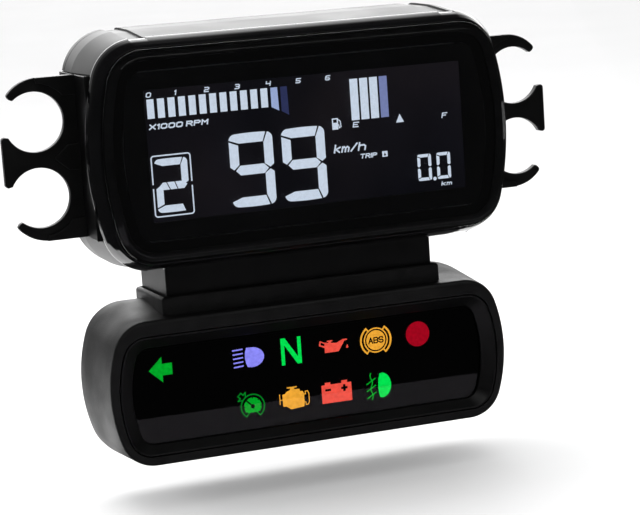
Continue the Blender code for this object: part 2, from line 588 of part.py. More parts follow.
def make_panel_housing(finish):
    sections = [(panel_outline(-0.6), PANEL_FRONT), (panel_outline(0), PANEL_FRONT + 0.6),
                (panel_outline(PANEL_FLARE), 44.4)]
    for i in range(6):
        turn = i / 5 * math.pi / 2
        drop, rise = PANEL_ROUND * (1 - math.cos(turn)), PANEL_ROUND * (1 - math.sin(turn))
        sections.append((panel_outline(PANEL_FLARE - drop), PANEL_BACK - rise))
    housing = loft("lower_housing", sections, finish["matt"])
    half = (COLLAR_TOP_FRONT - COLLAR_BOTTOM) / 2
    rear_half = (COLLAR_TOP_REAR - COLLAR_BOTTOM) / 2
    collar = [(rectangle(COLLAR_W, half, 1.0, 0, COLLAR_BOTTOM + half), COLLAR_FRONT),
              (rectangle(COLLAR_W, rear_half, 1.0, 0, COLLAR_BOTTOM + rear_half), COLLAR_REAR)]
    join(housing, loft("collar", collar))
    frame = outline(FRAME_W, FRAME_H, PANEL_ARC - 3, 8.5, FRAME_Z)
    seat = outline(GLASS_W + 1.7, GLASS_H + 1.0, PANEL_ARC - 6.3, 6.0, GLASS_Z)
    cut(housing,
        box("socket", (-48.9, 48.9), (22.0, NECK_REAR + 0.5), (-62.2, -40)),
        loft("frame_opening", [(frame, 14), (frame, 19.7)]),
        loft("glass_seat", [(seat, 19), (seat, 21.6)]),
        loft("panel_cavity", [(cavity_outline(0, 0), 21), (cavity_outline(0, 0), 60)]),
        loft("cover_recess", [(cavity_outline(2.5, 1.7), COVER_LEDGE), (cavity_outline(2.5, 1.7), 60)]),
        box("receptacle_hole", (-27, 27), (39, 45), (-70, -60)))
    for i, (x, z) in enumerate(COVER_SCREWS):
        join(housing, cylinder("cover_boss_%d" % i, x, (36, 49.5), z, 3.2))
        cut(housing, cylinder("cover_bore_%d" % i, x, (38, 60), z, 1.5, sides=16))


def make_panel_front(finish):
    outer = outline(FRAME_W - GAP, FRAME_H - GAP, PANEL_ARC - 3.3, 8.2, FRAME_Z)
    mouth = outline(FRAME_W - 0.8, FRAME_H - 0.8, PANEL_ARC - 3.8, 7.7, FRAME_Z)
    glass = outline(GLASS_W, GLASS_H, PANEL_ARC - 8, 5.0, GLASS_Z)
    bezel = loft("lower_inner_bezel", [(outer, 15.9), (outer, 19.4)], finish["smooth"])
    cut(bezel, loft("bezel_slope", [(mouth, 15.8), (glass, 18.7), (glass, 20)]))
    window = outline(GLASS_W + 1.4, GLASS_H + 0.7, PANEL_ARC - 6.6, 5.7, GLASS_Z)
    loft("lower_window", [(window, 19.7), (window, 21.3)], finish["smoked"])
    film = cavity_outline(-0.4, -0.4)
    loft("icon_film", [(film, 21.6), (film, 22.0)], finish["film"])


def make_light_box(finish):
    outer = cavity_outline(-0.5, -0.5)
    comb = loft("light_box", [(outer, 22.3), (outer, 33.0)], finish["white"])
    for z, row in LAMP_ROWS.items():
        cut(comb, box("lamp_channel_%g" % z, (-61.4, 61.4), (31.9, 34), (z - 2.6, z + 2.6)))
        name = "lamp_row_upper" if z == max(LAMP_ROWS) else "lamp_row_lower"
        strip = box(name, (row[0] - 7, row[-1] + 7), (32.2, 32.8), (z - 2.2, z + 2.2), finish["board"])
        for i, x in enumerate(row):
            cut(comb, box("cell_%g_%d" % (z, i), (x - CELL_W / 2, x + CELL_W / 2), (21, 34),
                          (z - CELL_H / 2, z + CELL_H / 2)))
            join(strip, box("lamp_%g_%d" % (z, i), (x - 1.5, x + 1.5), (30.7, 32.5), (z - 1.5, z + 1.5)))
    board = cavity_outline(-0.6, -0.6)
    loft("lamp_board", [(board, 33.3), (board, 33.3 + BOARD_T)], finish["board"])


def make_panel_rear(finish):
    receptacle = box("receptacle", (-26.7, 26.7), (39.3, 44.7), (-69.5, -62.5), finish["chip"], 0.4)
    for i in range(8):
        x = -21 + 6 * i
        cut(receptacle, box("receptacle_way_%d" % i, (x - 0.9, x + 0.9), (41.1, 42.9), (-68, -60)))
    bend = [(42.0, -69.8), (41.4, -71.4), (39.8, -72.5), (37.4, -73.0), (35.3, -73.1)]
    make_strip("panel_ribbon", bend, 16, finish["ribbon"])
    outer, inner = cavity_outline(2.2, 1.4), cavity_outline(0.3, 0.3)
    seal = loft("lower_seal", [(outer, COVER_LEDGE + GAP), (outer, COVER_LEDGE + 0.9)], finish["rubber"])
    cut(seal, loft("lower_seal_hole", [(inner, 48), (inner, 53)]))
    edge = cavity_outline(2.1, 1.3)
    cover = loft("lower_rear_cover", [(edge, COVER_LEDGE + 1.2), (edge, 53.3)], finish["satin"])
    screw = screw_profile(1.2, 12.2, 2.6, 1.5)
    for i, (x, z) in enumerate(COVER_SCREWS):
        cut(cover, cylinder("cover_hole_%d" % i, x, (48, 60), z, 1.5, sides=16),
            cylinder("cover_counterbore_%d" % i, x, (51.9, 60), z, 2.9))
        cut(seal, cylinder("seal_clear_%d" % i, x, (48, 60), z, 2.0, sides=16))
        made = turned("cover_screw_%d" % (i + 1), screw, (x, 40, z), finish["steel"], steps=20)
        cut(made, cylinder("cover_drive_%d" % i, x, (53.0, 60), z, 1.1, sides=6))


def main():
    finish = make_finishes()
    make_lens(finish)
    make_gasket(finish)
    make_bezel(finish)
    make_display(finish)
    make_carrier(finish)
    make_pin_row(finish)
    make_board(finish)
    make_ribbon(finish)
    make_housing(finish)
    make_rear_case(finish)
    make_rear_fittings(finish)
    make_connector(finish)
    make_button(finish)
    make_clip(finish, -1, "left")
    make_clip(finish, 1, "right")
    make_neck(finish)
    make_panel_housing(finish)
    make_panel_front(finish)
    make_light_box(finish)
    make_panel_rear(finish)


for old in list(bpy.data.objects):
    bpy.data.objects.remove(old, do_unlink=True)
parts = bpy.data.collections.new("instrument_cluster")
cutters = bpy.data.collections.new("cutters")
bpy.context.scene.collection.children.link(parts)
bpy.context.scene.collection.children.link(cutters)
main()
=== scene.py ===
import json
import math

import bmesh
import bpy
from mathutils import Matrix, Vector


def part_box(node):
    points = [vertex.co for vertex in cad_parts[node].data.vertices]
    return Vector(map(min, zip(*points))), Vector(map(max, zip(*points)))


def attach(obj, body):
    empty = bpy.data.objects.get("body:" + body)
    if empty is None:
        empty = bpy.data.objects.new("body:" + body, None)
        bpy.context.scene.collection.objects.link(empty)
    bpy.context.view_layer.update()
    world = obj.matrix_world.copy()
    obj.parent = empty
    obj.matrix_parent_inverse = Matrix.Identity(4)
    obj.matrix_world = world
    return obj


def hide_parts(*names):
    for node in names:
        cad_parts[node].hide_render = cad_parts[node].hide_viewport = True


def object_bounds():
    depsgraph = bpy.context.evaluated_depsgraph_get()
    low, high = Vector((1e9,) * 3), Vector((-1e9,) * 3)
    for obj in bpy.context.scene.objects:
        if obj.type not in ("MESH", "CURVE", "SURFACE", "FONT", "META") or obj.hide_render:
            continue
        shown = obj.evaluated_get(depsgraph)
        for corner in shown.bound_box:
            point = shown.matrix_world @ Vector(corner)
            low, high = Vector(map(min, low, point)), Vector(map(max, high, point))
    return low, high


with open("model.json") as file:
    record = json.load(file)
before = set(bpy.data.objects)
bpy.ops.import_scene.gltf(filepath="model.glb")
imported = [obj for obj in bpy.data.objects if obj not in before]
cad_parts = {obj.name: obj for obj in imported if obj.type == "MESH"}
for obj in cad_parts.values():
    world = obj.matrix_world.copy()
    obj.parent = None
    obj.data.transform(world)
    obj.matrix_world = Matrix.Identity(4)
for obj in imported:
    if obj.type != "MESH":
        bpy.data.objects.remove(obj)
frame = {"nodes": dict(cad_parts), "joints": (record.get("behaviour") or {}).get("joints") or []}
cad_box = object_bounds()

# Lengths are in millimetres and become metres in point().  "Depth" runs from the front of the
# gauge's lens to the rear, x to the rider's right, z up from the middle of the gauge.
MM = 0.001
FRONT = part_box("upper_lens")[0].y


def point(x, depth, z):
    return Vector((x * MM, FRONT + depth * MM, z * MM))


def span(node):
    """A CAD node's extent as ((x low, x high), (depth low, depth high), (z low, z high))."""
    low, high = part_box(node)
    return ((low.x / MM, high.x / MM), ((low.y - FRONT) / MM, (high.y - FRONT) / MM),
            (low.z / MM, high.z / MM))


LENS_X, LENS_D, LENS_Z = span("upper_lens")
BEZEL_D = span("upper_bezel")[1]
HOUSING_D = span("upper_housing")[1]
CASE_D = span("rear_case")[1]
CLIP_X, CLIP_D, CLIP_Z = span("clip_plate_right")
NECK_X, NECK_D, NECK_Z = span("neck")
PANEL_D = span("lower_housing")[1]
WINDOW_D = span("lower_window")[1]
FILM_D = span("icon_film")[1]
GLASS_D = span("display_glass")[1]
COVER_D = span("lower_rear_cover")[1]

LENS_W, LENS_H = LENS_X[1], LENS_Z[1]
LENS_ARC, LENS_R = 100.3, 12.45      # radius of the bowed ends and of the corners
LENS_BEVEL = 2.3
GROOVE_IN, GROOVE_OUT = 51.3, 57.1   # a shallow groove near each end of the top and the bottom
GROOVE_STEP, GROOVE_WALL = 0.65, 0.06
GAP = 0.3
PANEL_MID = -80.7
PANEL_W, PANEL_H, PANEL_ARC, PANEL_R = 71.45, 24.67, 51.4, 12.1

RIM_GROW, RIM_NOTCH = 3.5, 0.45      # the bezel's rim past the lens, and its shallow notches
CASE_W, CASE_H, CASE_ROUND = 4.2, 5.4, 7.0   # the rear case past the lens, and its rear edge
CASE_BACK = CASE_D[1] - 2.0          # the flat back, which the mounting pad stands out from
CORNER_STEPS, SIDE_STEPS, SOFT_STEPS = 14, 20, 5
STRAIGHT = 4000.0                    # an end bowed this little counts as straight


# ---------------------------------------------------------------- shapes

def trace(shape, band=None):
    """Points (x, z) round a rectangle with bowed ends and rounded corners, grooved if band is None."""
    half_w, half_h, arc, radius, mid_x, mid_z, step = shape
    centre_x = half_w - arc
    corner_z = half_h - radius
    corner_x = centre_x + math.sqrt((arc - radius) ** 2 - corner_z ** 2)
    lean = math.asin(corner_z / (arc - radius))
    start = math.pi / 2
    if band is None:
        top = [(GROOVE_IN - GROOVE_WALL, half_h), (GROOVE_IN + GROOVE_WALL, half_h - step)]
        top.append(((GROOVE_IN + corner_x) / 2, half_h - step))
        for x, drop in ((56.0, step), (GROOVE_OUT - GROOVE_WALL, step), (GROOVE_OUT + GROOVE_WALL, 0.0)):
            start = math.acos((x - corner_x) / radius)
            top.append((x, corner_z + radius * math.sin(start) - drop))
    else:
        top = [(band, half_h), (corner_x, half_h)]
    for i in range(1, CORNER_STEPS + 1):
        turn = start + (lean - start) * i / CORNER_STEPS
        top.append((corner_x + radius * math.cos(turn), corner_z + radius * math.sin(turn)))
    side = []
    for i in range(1, SIDE_STEPS):
        turn = lean - 2 * lean * i / SIDE_STEPS
        side.append((centre_x + arc * math.cos(turn), arc * math.sin(turn)))
    right = top + side + [(x, -z) for x, z in reversed(top)]
    left = [(-x, z) for x, z in reversed(right)]
    return [(x + mid_x, z + mid_z) for x, z in right + left]


def lens(grow, rise=None, step=0.0):
    rise = grow if rise is None else rise
    return (LENS_W + grow, LENS_H + rise, LENS_ARC + grow, LENS_R + min(grow, rise), 0.0, 0.0, step)


def cavity(grow):
    return (65.5 + grow, 36.0 + grow, 95.3 + grow, 9.0 + grow, 0.0, 0.0, 0.0)


def panel(grow):
    return (PANEL_W + grow, PANEL_H + grow, PANEL_ARC + grow, PANEL_R + grow, 0.0, PANEL_MID, 0.0)


def panel_cavity(grow_w, grow_h):
    return (64.0 + grow_w, 17.1 + grow_h, 45.0 + grow_w, 5.0 + grow_h, 0.0, -83.6, 0.0)


def block_shape(half_w, half_h, radius, mid_x=0.0, mid_z=0.0):
    return (half_w, half_h, STRAIGHT, radius, mid_x, mid_z, 0.0)


def quarter(steps, first=0):
    """How far in and how far back a rounded edge is at each step, as parts of its radius."""
    turns = [i / steps * math.pi / 2 for i in range(first, steps + 1)]
    return [(1 - math.cos(turn), 1 - math.sin(turn)) for turn in turns]


def polar(mid, radius, degrees):
    turn = math.radians(degrees)
    return (mid[0] + radius * math.cos(turn), mid[1] + radius * math.sin(turn))


def soften(rows, closed):
    """Round the corners of a profile whose rows are (shape, depth, reach of the rounding)."""
    made = []
    for i, (shape, depth, reach) in enumerate(rows):
        here = (*shape, depth)
        if reach == 0 or (not closed and i in (0, len(rows) - 1)):
            made.append(here)
            continue
        ends = []
        for other_shape, other_depth, _ in (rows[i - 1], rows[(i + 1) % len(rows)]):
            other = (*other_shape, other_depth)
            away = max(abs(other[0] - here[0]), abs(other[1] - here[1]))
            share = min(reach / math.hypot(away, other_depth - depth), 0.48)
            ends.append([h + (o - h) * share for h, o in zip(here, other)])
        for k in range(SOFT_STEPS + 1):
            t = k / SOFT_STEPS
            made.append([(1 - t) ** 2 * a + 2 * t * (1 - t) * h + t * t * b
                         for a, h, b in zip(ends[0], here, ends[1])])
    return made


def linked(name, data):
    """A new object of the scene."""
    made = bpy.data.objects.new(name, data)
    bpy.context.scene.collection.objects.link(made)
    return made


def keep(name, bm):
    """An object from a bmesh as it is."""
    mesh = bpy.data.meshes.new(name)
    bm.to_mesh(mesh)
    bm.free()
    return linked(name, mesh)


def new_object(name, bm):
    bmesh.ops.recalc_face_normals(bm, faces=bm.faces)
    return keep(name, bm)


def bridge(name, loops, closed=False, caps=True):
    """A surface through loops of points, each a whole loop or a single point on the axis."""
    bm = bmesh.new()
    loops = [[bm.verts.new(spot) for spot in loop] for loop in loops]
    count = max(map(len, loops))
    for a, b in zip(loops, loops[1:] + loops[:1] if closed else loops[1:]):
        for i in range(count):
            j = (i + 1) % count
            face = list(dict.fromkeys((a[i % len(a)], a[j % len(a)], b[j % len(b)], b[i % len(b)])))
            if len(face) > 2:
                bm.faces.new(face)
    if caps:
        bm.faces.new(loops[0])
        bm.faces.new(loops[-1])
    return new_object(name, bm)


def skin_points(name, sections, closed=False):
    """A surface through outlines of (x, z) points at given depths, capped unless it closes on itself."""
    loops = [[point(x, depth, z) for x, z in points] for points, depth in sections]
    return bridge(name, loops, closed, not closed)


def skin(name, rows, closed=False, band=None):
    return skin_points(name, [(trace(row[:7], band), row[7]) for row in soften(rows, closed)], closed)


def slab(name, shape, depth, soft=0.2, band=10.0):
    """A plate of one shape between two depths, with softened rims."""
    inner = (shape[0] - soft * 2, shape[1] - soft * 2, shape[2] - soft * 2, max(shape[3] - soft * 2, 0.05),
             *shape[4:])
    return skin(name, [(inner, depth[0], 0), (shape, depth[0], soft), (shape, depth[1], soft),
                       (inner, depth[1], 0)], band=band)


def block(name, x, depth, z, soft=0.3, segments=3):
    """A block with rounded edges between two values of x, of depth and of z."""
    low, high = point(x[0], depth[0], z[0]), point(x[1], depth[1], z[1])
    bm = bmesh.new()
    bmesh.ops.create_cube(bm, size=1.0, matrix=Matrix.Translation((low + high) / 2)
                          @ Matrix.Diagonal(high - low).to_4x4())
    if soft:
        bmesh.ops.bevel(bm, geom=list(bm.edges), offset=soft * MM, segments=segments, profile=0.5,
                        affect="EDGES")
    return new_object(name, bm)


TURNS = {"Y": Matrix.Rotation(-math.pi / 2, 4, "X"), "X": Matrix.Rotation(math.pi / 2, 4, "Y"),
         "-X": Matrix.Rotation(-math.pi / 2, 4, "Y"), "Z": Matrix.Identity(4)}


def lathe(name, profile, place, axis="Y", steps=64, ring=False):
    """A turned piece. The profile lists (radius, height); a ring's profile closes on itself."""
    spot = Matrix.Translation(point(*place)) @ TURNS[axis]
    loops = []
    for radius, height in profile:
        turns = [2 * math.pi * i / steps for i in range(steps if radius >= 1e-6 else 1)]
        loops.append([spot @ Vector((radius * MM * math.cos(turn), radius * MM * math.sin(turn), height * MM))
                      for turn in turns])
    return bridge(name, loops, ring, False)


def rod(name, radius, height, place, axis="Y", steps=64):
    return lathe(name, [(0, 0), (radius, 0), (radius, height), (0, height)], place, axis, steps)


def prism(name, outlines, place, axis="Y"):
    """A prism through flat outlines [(points, height), ...] standing on an axis."""
    spot = Matrix.Translation(point(*place)) @ TURNS[axis]
    return bridge(name, [[spot @ Vector((x * MM, y * MM, height * MM)) for x, y in points]
                         for points, height in outlines])


def settle(target):
    """Replace an object's mesh by what its modifiers make of it."""
    graph = bpy.context.evaluated_depsgraph_get()
    mesh = bpy.data.meshes.new_from_object(target.evaluated_get(graph))
    target.modifiers.clear()
    target.data = mesh


def join_meshes(name, *others):
    """One object out of several, left overlapping or apart as they are."""
    bm = bmesh.new()
    for other in others:
        bm.from_mesh(other.data)
        bpy.data.objects.remove(other)
    return keep(name, bm)


def combine(target, operation, others):
    for other in others:
        change = target.modifiers.new("change", "BOOLEAN")
        change.operation = operation
        change.solver = "EXACT"
        change.object = other
        other.hide_render = True
    settle(target)
    for other in others:
        bpy.data.objects.remove(other)
    return target


def cut(target, *others):
    return combine(target, "DIFFERENCE", others)


def join(target, *others):
    return combine(target, "UNION", others)


def piece(made, body, slot, nodes=(), angle=35):
    """Finish a visible piece: smooth shading, its material, its body and the nodes it stands for."""
    mesh = made.data
    mesh.polygons.foreach_set("use_smooth", [True] * len(mesh.polygons))
    mesh.set_sharp_from_angle(angle=math.radians(angle))
    weigh = made.modifiers.new("weigh", "WEIGHTED_NORMAL")
    weigh.keep_sharp = True
    weigh.weight = 80
    settle(made)
    made.data.materials.clear()
    made.data.materials.append(PAINT[slot])
    made.name = made.name.split(".")[0]
    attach(made, body)
    RECORD_SLOT.get(slot, slot)
    if nodes:
        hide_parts(*nodes)
    return made


# ---------------------------------------------------------------- materials

PAINT = {}


class Paint:
    """A material whose look comes from nodes: object-space noise drives colour, gloss and relief."""

    def __init__(self, name, colour, **sockets):
        self.material = bpy.data.materials.new("fine_" + name)
        self.material.use_nodes = True
        self.tree = self.material.node_tree
        self.shader = self.tree.nodes["Principled BSDF"]
        self.shader.inputs["Base Color"].default_value = (*colour, 1.0)
        for label, value in sockets.items():
            socket = self.shader.inputs[label.replace("_", " ")]
            socket.default_value = (*value, 1.0) if isinstance(value, tuple) else value
        self.place = self.add("ShaderNodeTexCoord").outputs["Object"]
        PAINT[name] = self.material

    def add(self, kind, **settings):
        node = self.tree.nodes.new(kind)
        for label, value in settings.items():
            setattr(node, label, value)
        return node

    def link(self, source, target):
        self.tree.links.new(source, target)

    def stretched(self, scale):
        node = self.add("ShaderNodeMapping")
        node.inputs["Scale"].default_value = scale
        self.link(self.place, node.inputs["Vector"])
        return node.outputs["Vector"]

    def noise(self, scale, detail=2.0, vector=None):
        node = self.add("ShaderNodeTexNoise")
        node.inputs["Scale"].default_value = scale
        node.inputs["Detail"].default_value = detail
        self.link(vector or self.place, node.inputs["Vector"])
        return node.outputs["Fac"]

    def cells(self, scale, feature="F1"):
        node = self.add("ShaderNodeTexVoronoi", feature=feature)
        node.inputs["Scale"].default_value = scale
        self.link(self.place, node.inputs["Vector"])
        return node.outputs["Distance"]

    def wave(self, scale):
        node = self.add("ShaderNodeTexWave", bands_direction="X")
        node.inputs["Scale"].default_value = scale
        node.inputs["Distortion"].default_value = 0.0
        self.link(self.place, node.inputs["Vector"])
        return node.outputs["Fac"]

    def ranged(self, source, low, high, start=0.3, end=0.7):
        node = self.add("ShaderNodeMapRange")
        node.inputs["From Min"].default_value = start
        node.inputs["From Max"].default_value = end
        node.inputs["To Min"].default_value = low
        node.inputs["To Max"].default_value = high
        self.link(source, node.inputs["Value"])
        return node.outputs["Result"]

    def vary(self, socket, source, low, high, start=0.3, end=0.7):
        self.link(self.ranged(source, low, high, start, end), self.shader.inputs[socket])

    def blend(self, source, first, second, socket="Base Color"):
        """Colour runs from first to second, each a colour or an earlier output, as source goes 0 to 1."""
        node = self.add("ShaderNodeMix", data_type="RGBA")
        self.link(source, node.inputs["Factor"])
        for value, name in ((first, "A"), (second, "B")):
            target = [s for s in node.inputs if s.name == name and s.type == "RGBA"][0]
            if isinstance(value, tuple):
                target.default_value = (*value, 1.0)
            else:
                self.link(value, target)
        result = [s for s in node.outputs if s.type == "RGBA"][0]
        self.link(result, self.shader.inputs[socket])
        return result

    def bump(self, source, height, strength=1.0, after=None):
        node = self.add("ShaderNodeBump")
        node.inputs["Strength"].default_value = strength
        node.inputs["Distance"].default_value = height * MM
        self.link(source, node.inputs["Height"])
        if after:
            self.link(after, node.inputs["Normal"])
        self.link(node.outputs["Normal"], self.shader.inputs["Normal"])
        return node.outputs["Normal"]

    def specks(self, scale, size, colour, base):
        """Rare dots of dust or filler over the base colour."""
        near = self.ranged(self.cells(scale), 1.0, 0.0, size * 0.4, size)
        rare = self.ranged(self.noise(scale * 0.23, 0.0), 0.0, 1.0, 0.6, 0.66)
        both = self.add("ShaderNodeMath", operation="MULTIPLY")
        self.link(near, both.inputs[0])
        self.link(rare, both.inputs[1])
        return self.blend(both.outputs["Value"], base, colour)


def plastic(name, dark, light, gloss, grain, relief, dust):
    """Moulded black plastic: a fine spark-eroded texture, uneven gloss and a little dust."""
    paint = Paint(name, dark)
    paint.vary("Roughness", paint.noise(45, 4.0), gloss[0], gloss[1], 0.35, 0.65)
    base = paint.blend(paint.ranged(paint.noise(220, 5.0), 0, 1), dark, light)
    if dust:
        paint.specks(900, 0.16, (dust, dust, dust), base)
    rough = paint.bump(paint.noise(grain, 3.0), relief)
    paint.bump(paint.noise(18, 2.0), 0.02, 0.5, rough)


def glowing(name, colour, strength, uneven=0.12):
    """A lit display area: colour with a fine cell pattern and a slow change of brightness."""
    paint = Paint(name, tuple(0.3 * part for part in colour), Roughness=0.4, Emission_Color=colour)
    low, high = strength * (1 - uneven), strength * (1 + uneven)
    paint.vary("Emission Strength", paint.noise(900, 2.0), low, high, 0.35, 0.65)
    paint.bump(paint.cells(3000), 0.004)


def metal(name, colour, gloss):
    paint = Paint(name, colour, Metallic=1.0)
    dull = tuple(part * 0.72 for part in colour)
    paint.blend(paint.ranged(paint.noise(180, 4.0), 0, 1), colour, dull)
    brushed = paint.noise(1.0, 3.0, paint.stretched((60, 60, 1500)))
    paint.vary("Roughness", brushed, gloss[0], gloss[1])
    paint.bump(brushed, 0.008)


# Dark colour, light colour, roughness range, grain scale, grain depth in mm, and dust.
PLASTICS = {
    "satin_black": ((0.0022, 0.0022, 0.0024), (0.004, 0.004, 0.0042), (0.365, 0.405), 3600, 0.008, 0.012),
    "grained_black": ((0.0025, 0.0025, 0.0026), (0.0055, 0.0054, 0.0055), (0.42, 0.6), 1700, 0.09, 0.03),
    "smooth_dark": ((0.0015, 0.0015, 0.0016), (0.0028, 0.0028, 0.0029), (0.3, 0.42), 5200, 0.008, 0.01),
    "clip_nylon": ((0.002, 0.002, 0.0021), (0.004, 0.004, 0.0041), (0.3, 0.45), 2600, 0.014, 0.012),
    "chip_black": ((0.012, 0.012, 0.012), (0.02, 0.02, 0.02), (0.4, 0.6), 4200, 0.01, 0.02),
    "mask_black": ((0.0012, 0.0012, 0.0013), (0.002, 0.002, 0.0021), (0.5, 0.65), 5200, 0.006, 0),
    "black_rubber": ((0.010, 0.010, 0.010), (0.018, 0.018, 0.018), (0.6, 0.8), 2200, 0.03, 0.02),
    "icon_film": ((0.001, 0.001, 0.0011), (0.002, 0.002, 0.0021), (0.45, 0.6), 5200, 0.004, 0),
}
METALS = {
    "brass": ((0.72, 0.5, 0.2), (0.2, 0.34)), "steel": ((0.52, 0.53, 0.55), (0.18, 0.36)),
    "tinned_copper": ((0.72, 0.70, 0.66), (0.22, 0.36)), "aluminium_can": ((0.62, 0.63, 0.65), (0.28, 0.4)),
}
WHITE = (0.635, 0.72, 0.83)
DIAL_GLOWS = {   # colour, strength, unevenness
    "lit_white": (WHITE, 1.0, 0.05), "lit_label": (WHITE, 0.95, 0.05),
    "lit_fading": ((0.36, 0.45, 0.72), 0.95, 0.05), "lit_faint": ((0.025, 0.032, 0.095), 1.0, 0.1),
    "lit_grey": ((0.20, 0.24, 0.47), 0.95, 0.05),
}
SMOKE = 5.6                          # how much the smoked window dims the lamps behind it
LAMP_GLOWS = {
    "lit_green": ((0.0, 0.87, 0.085), SMOKE), "lit_soft_green": ((0.0, 0.44, 0.022), SMOKE),
    "lit_dim_green": ((0.0, 0.29, 0.02), 0.85 * SMOKE), "lit_mid_green": ((0.0, 0.42, 0.02), SMOKE),
    "lit_blue": ((0.31, 0.30, 1.0), SMOKE), "lit_red": ((1.0, 0.10, 0.062), SMOKE),
    "lit_amber": ((1.0, 0.46, 0.04), SMOKE), "lit_crimson": ((0.40, 0.0015, 0.012), SMOKE),
}


def make_paints():
    for make, looks in ((plastic, PLASTICS), (metal, METALS), (glowing, DIAL_GLOWS), (glowing, LAMP_GLOWS)):
        for name, look in looks.items():
            make(name, *look)

    paint = Paint("gloss_black", (0.0015, 0.0015, 0.0017), Coat_Weight=0.4, Coat_Roughness=0.05)
    paint.vary("Roughness", paint.noise(30, 4.0), 0.06, 0.11, 0.35, 0.65)
    base = paint.blend(paint.ranged(paint.noise(120, 3.0), 0, 1), (0.0012, 0.0012, 0.0014),
                       (0.0025, 0.0025, 0.0028))
    paint.specks(700, 0.06, (0.02, 0.02, 0.02), base)
    paint.bump(paint.noise(14, 2.0), 0.012)

    for name, colour, rough, extra in (("clear_lens", (0.93, 0.94, 0.96), 0.025, {}),
                                       ("smoked_lens", (0.16, 0.16, 0.175), 0.03,
                                        {"Specular_IOR_Level": 0.3})):
        paint = Paint(name, colour, Transmission_Weight=1.0, IOR=1.49, **extra)
        paint.vary("Roughness", paint.noise(26, 3.0), 0.0, rough, 0.4, 0.75)
        paint.bump(paint.noise(9, 1.0), 0.01, 0.4)

    paint = Paint("display_glass", (0.004, 0.004, 0.006), Roughness=0.12)
    paint.blend(paint.ranged(paint.noise(16, 2.0), 0, 1, 0.35, 0.65), (0.35, 0.36, 0.62), (0.62, 0.5, 0.62),
                "Emission Color")
    paint.vary("Emission Strength", paint.noise(20, 3.0), 0.006, 0.014, 0.35, 0.65)
    paint.bump(paint.cells(3000), 0.002)

    paint = Paint("white_plastic", (0.72, 0.72, 0.69))
    paint.blend(paint.ranged(paint.noise(60, 4.0), 0, 1), (0.74, 0.74, 0.71), (0.66, 0.65, 0.61))
    paint.vary("Roughness", paint.noise(90, 3.0), 0.35, 0.55)
    paint.bump(paint.noise(3000, 2.0), 0.008)

    paint = Paint("light_guide", (0.82, 0.86, 0.9), Roughness=0.15, Emission_Color=(0.8, 0.85, 1.0))
    dots = paint.ranged(paint.cells(900), 1.0, 0.0, 0.12, 0.3)
    paint.blend(dots, (0.74, 0.79, 0.84), (0.95, 0.95, 0.97))
    paint.vary("Emission Strength", paint.noise(40, 2.0), 0.05, 0.12)
    paint.bump(dots, 0.01)

    paint = Paint("circuit_board", (0.012, 0.075, 0.03), Roughness=0.3)
    tracks = paint.ranged(paint.cells(420, "DISTANCE_TO_EDGE"), 1.0, 0.0, 0.03, 0.06)
    paint.blend(tracks, (0.010, 0.07, 0.028), (0.022, 0.13, 0.05))
    paint.vary("Roughness", paint.noise(70, 3.0), 0.25, 0.42)
    paint.bump(tracks, 0.02)

    paint = Paint("flat_ribbon", (0.55, 0.28, 0.06))
    stripes = paint.ranged(paint.wave(160), 0.0, 1.0, 0.4, 0.6)
    paint.blend(stripes, (0.42, 0.19, 0.035), (0.68, 0.4, 0.12))
    paint.vary("Roughness", paint.noise(90, 3.0), 0.28, 0.45)
    paint.bump(stripes, 0.02)


RECORD_SLOT = {name: "display_glass" for name in DIAL_GLOWS} | {name: "icon_film" for name in LAMP_GLOWS}
make_paints()
for node in frame["nodes"].values():
    for place, old in enumerate(list(node.data.materials)):
        node.data.materials[place] = PAINT[old.name.split(".")[0]]


# ---------------------------------------------------------------- gauge, front

def make_lens():
    inside = LENS_BEVEL + 1.4
    piece(skin("fine_upper_lens", [
        (lens(-inside), LENS_D[0], 0), (lens(-LENS_BEVEL), LENS_D[0], 0.55), (lens(0), LENS_BEVEL, 0.5),
        (lens(0), LENS_D[1], 0.12), (lens(-1), LENS_D[1], 0)]), "gauge", "clear_lens", ["upper_lens"])


def ring(name, outer, inner, start, end, soft):
    """A flat ring between two shapes and two depths."""
    return skin(name, [(outer, start, soft), (outer, end, soft), (inner, end, soft), (inner, start, soft)],
                closed=True)


def make_bezel():
    start, end = BEZEL_D
    made = skin("fine_upper_bezel", [
        (lens(0.5), start, 0.2), (lens(1.1), 4.4, 0.6), (lens(2.4), 7.4, 1.0),
        (lens(3.1, step=0.12), 9.5, 0.1), (lens(RIM_GROW, step=RIM_NOTCH), 10.9, 0.35),
        (lens(RIM_GROW, step=RIM_NOTCH), end, 0.3), (lens(-7), end, 0.2), (lens(-7), 4.4, 0.2),
        (lens(-0.9), 4.4, 0), (lens(-0.9), start, 0.1)], closed=True)
    piece(made, "gauge", "gloss_black", ["upper_bezel"])
    start = LENS_D[1] + GAP
    made = ring("fine_lens_gasket", lens(-1.3), lens(-3.6), start, start + 0.6, 0.12)
    piece(made, "gauge", "black_rubber", ["lens_gasket"])


def make_mask():
    depth = span("display_mask")[1]
    window = block_shape(55.2, 21.6, 0.6)
    made = skin("fine_display_mask", [(lens(-7.3), depth[0], 0.1), (lens(-7.3), depth[1], 0.1),
                                      (window, depth[1], 0), (window, depth[0], 0.15)], closed=True, band=45)
    piece(made, "gauge", "mask_black", ["display_mask"])


# ---------------------------------------------------------------- gauge, housing

def shell(wide, high, depth, soft=0.0, step=GROOVE_STEP):
    return (lens(wide, high, step), depth, soft)


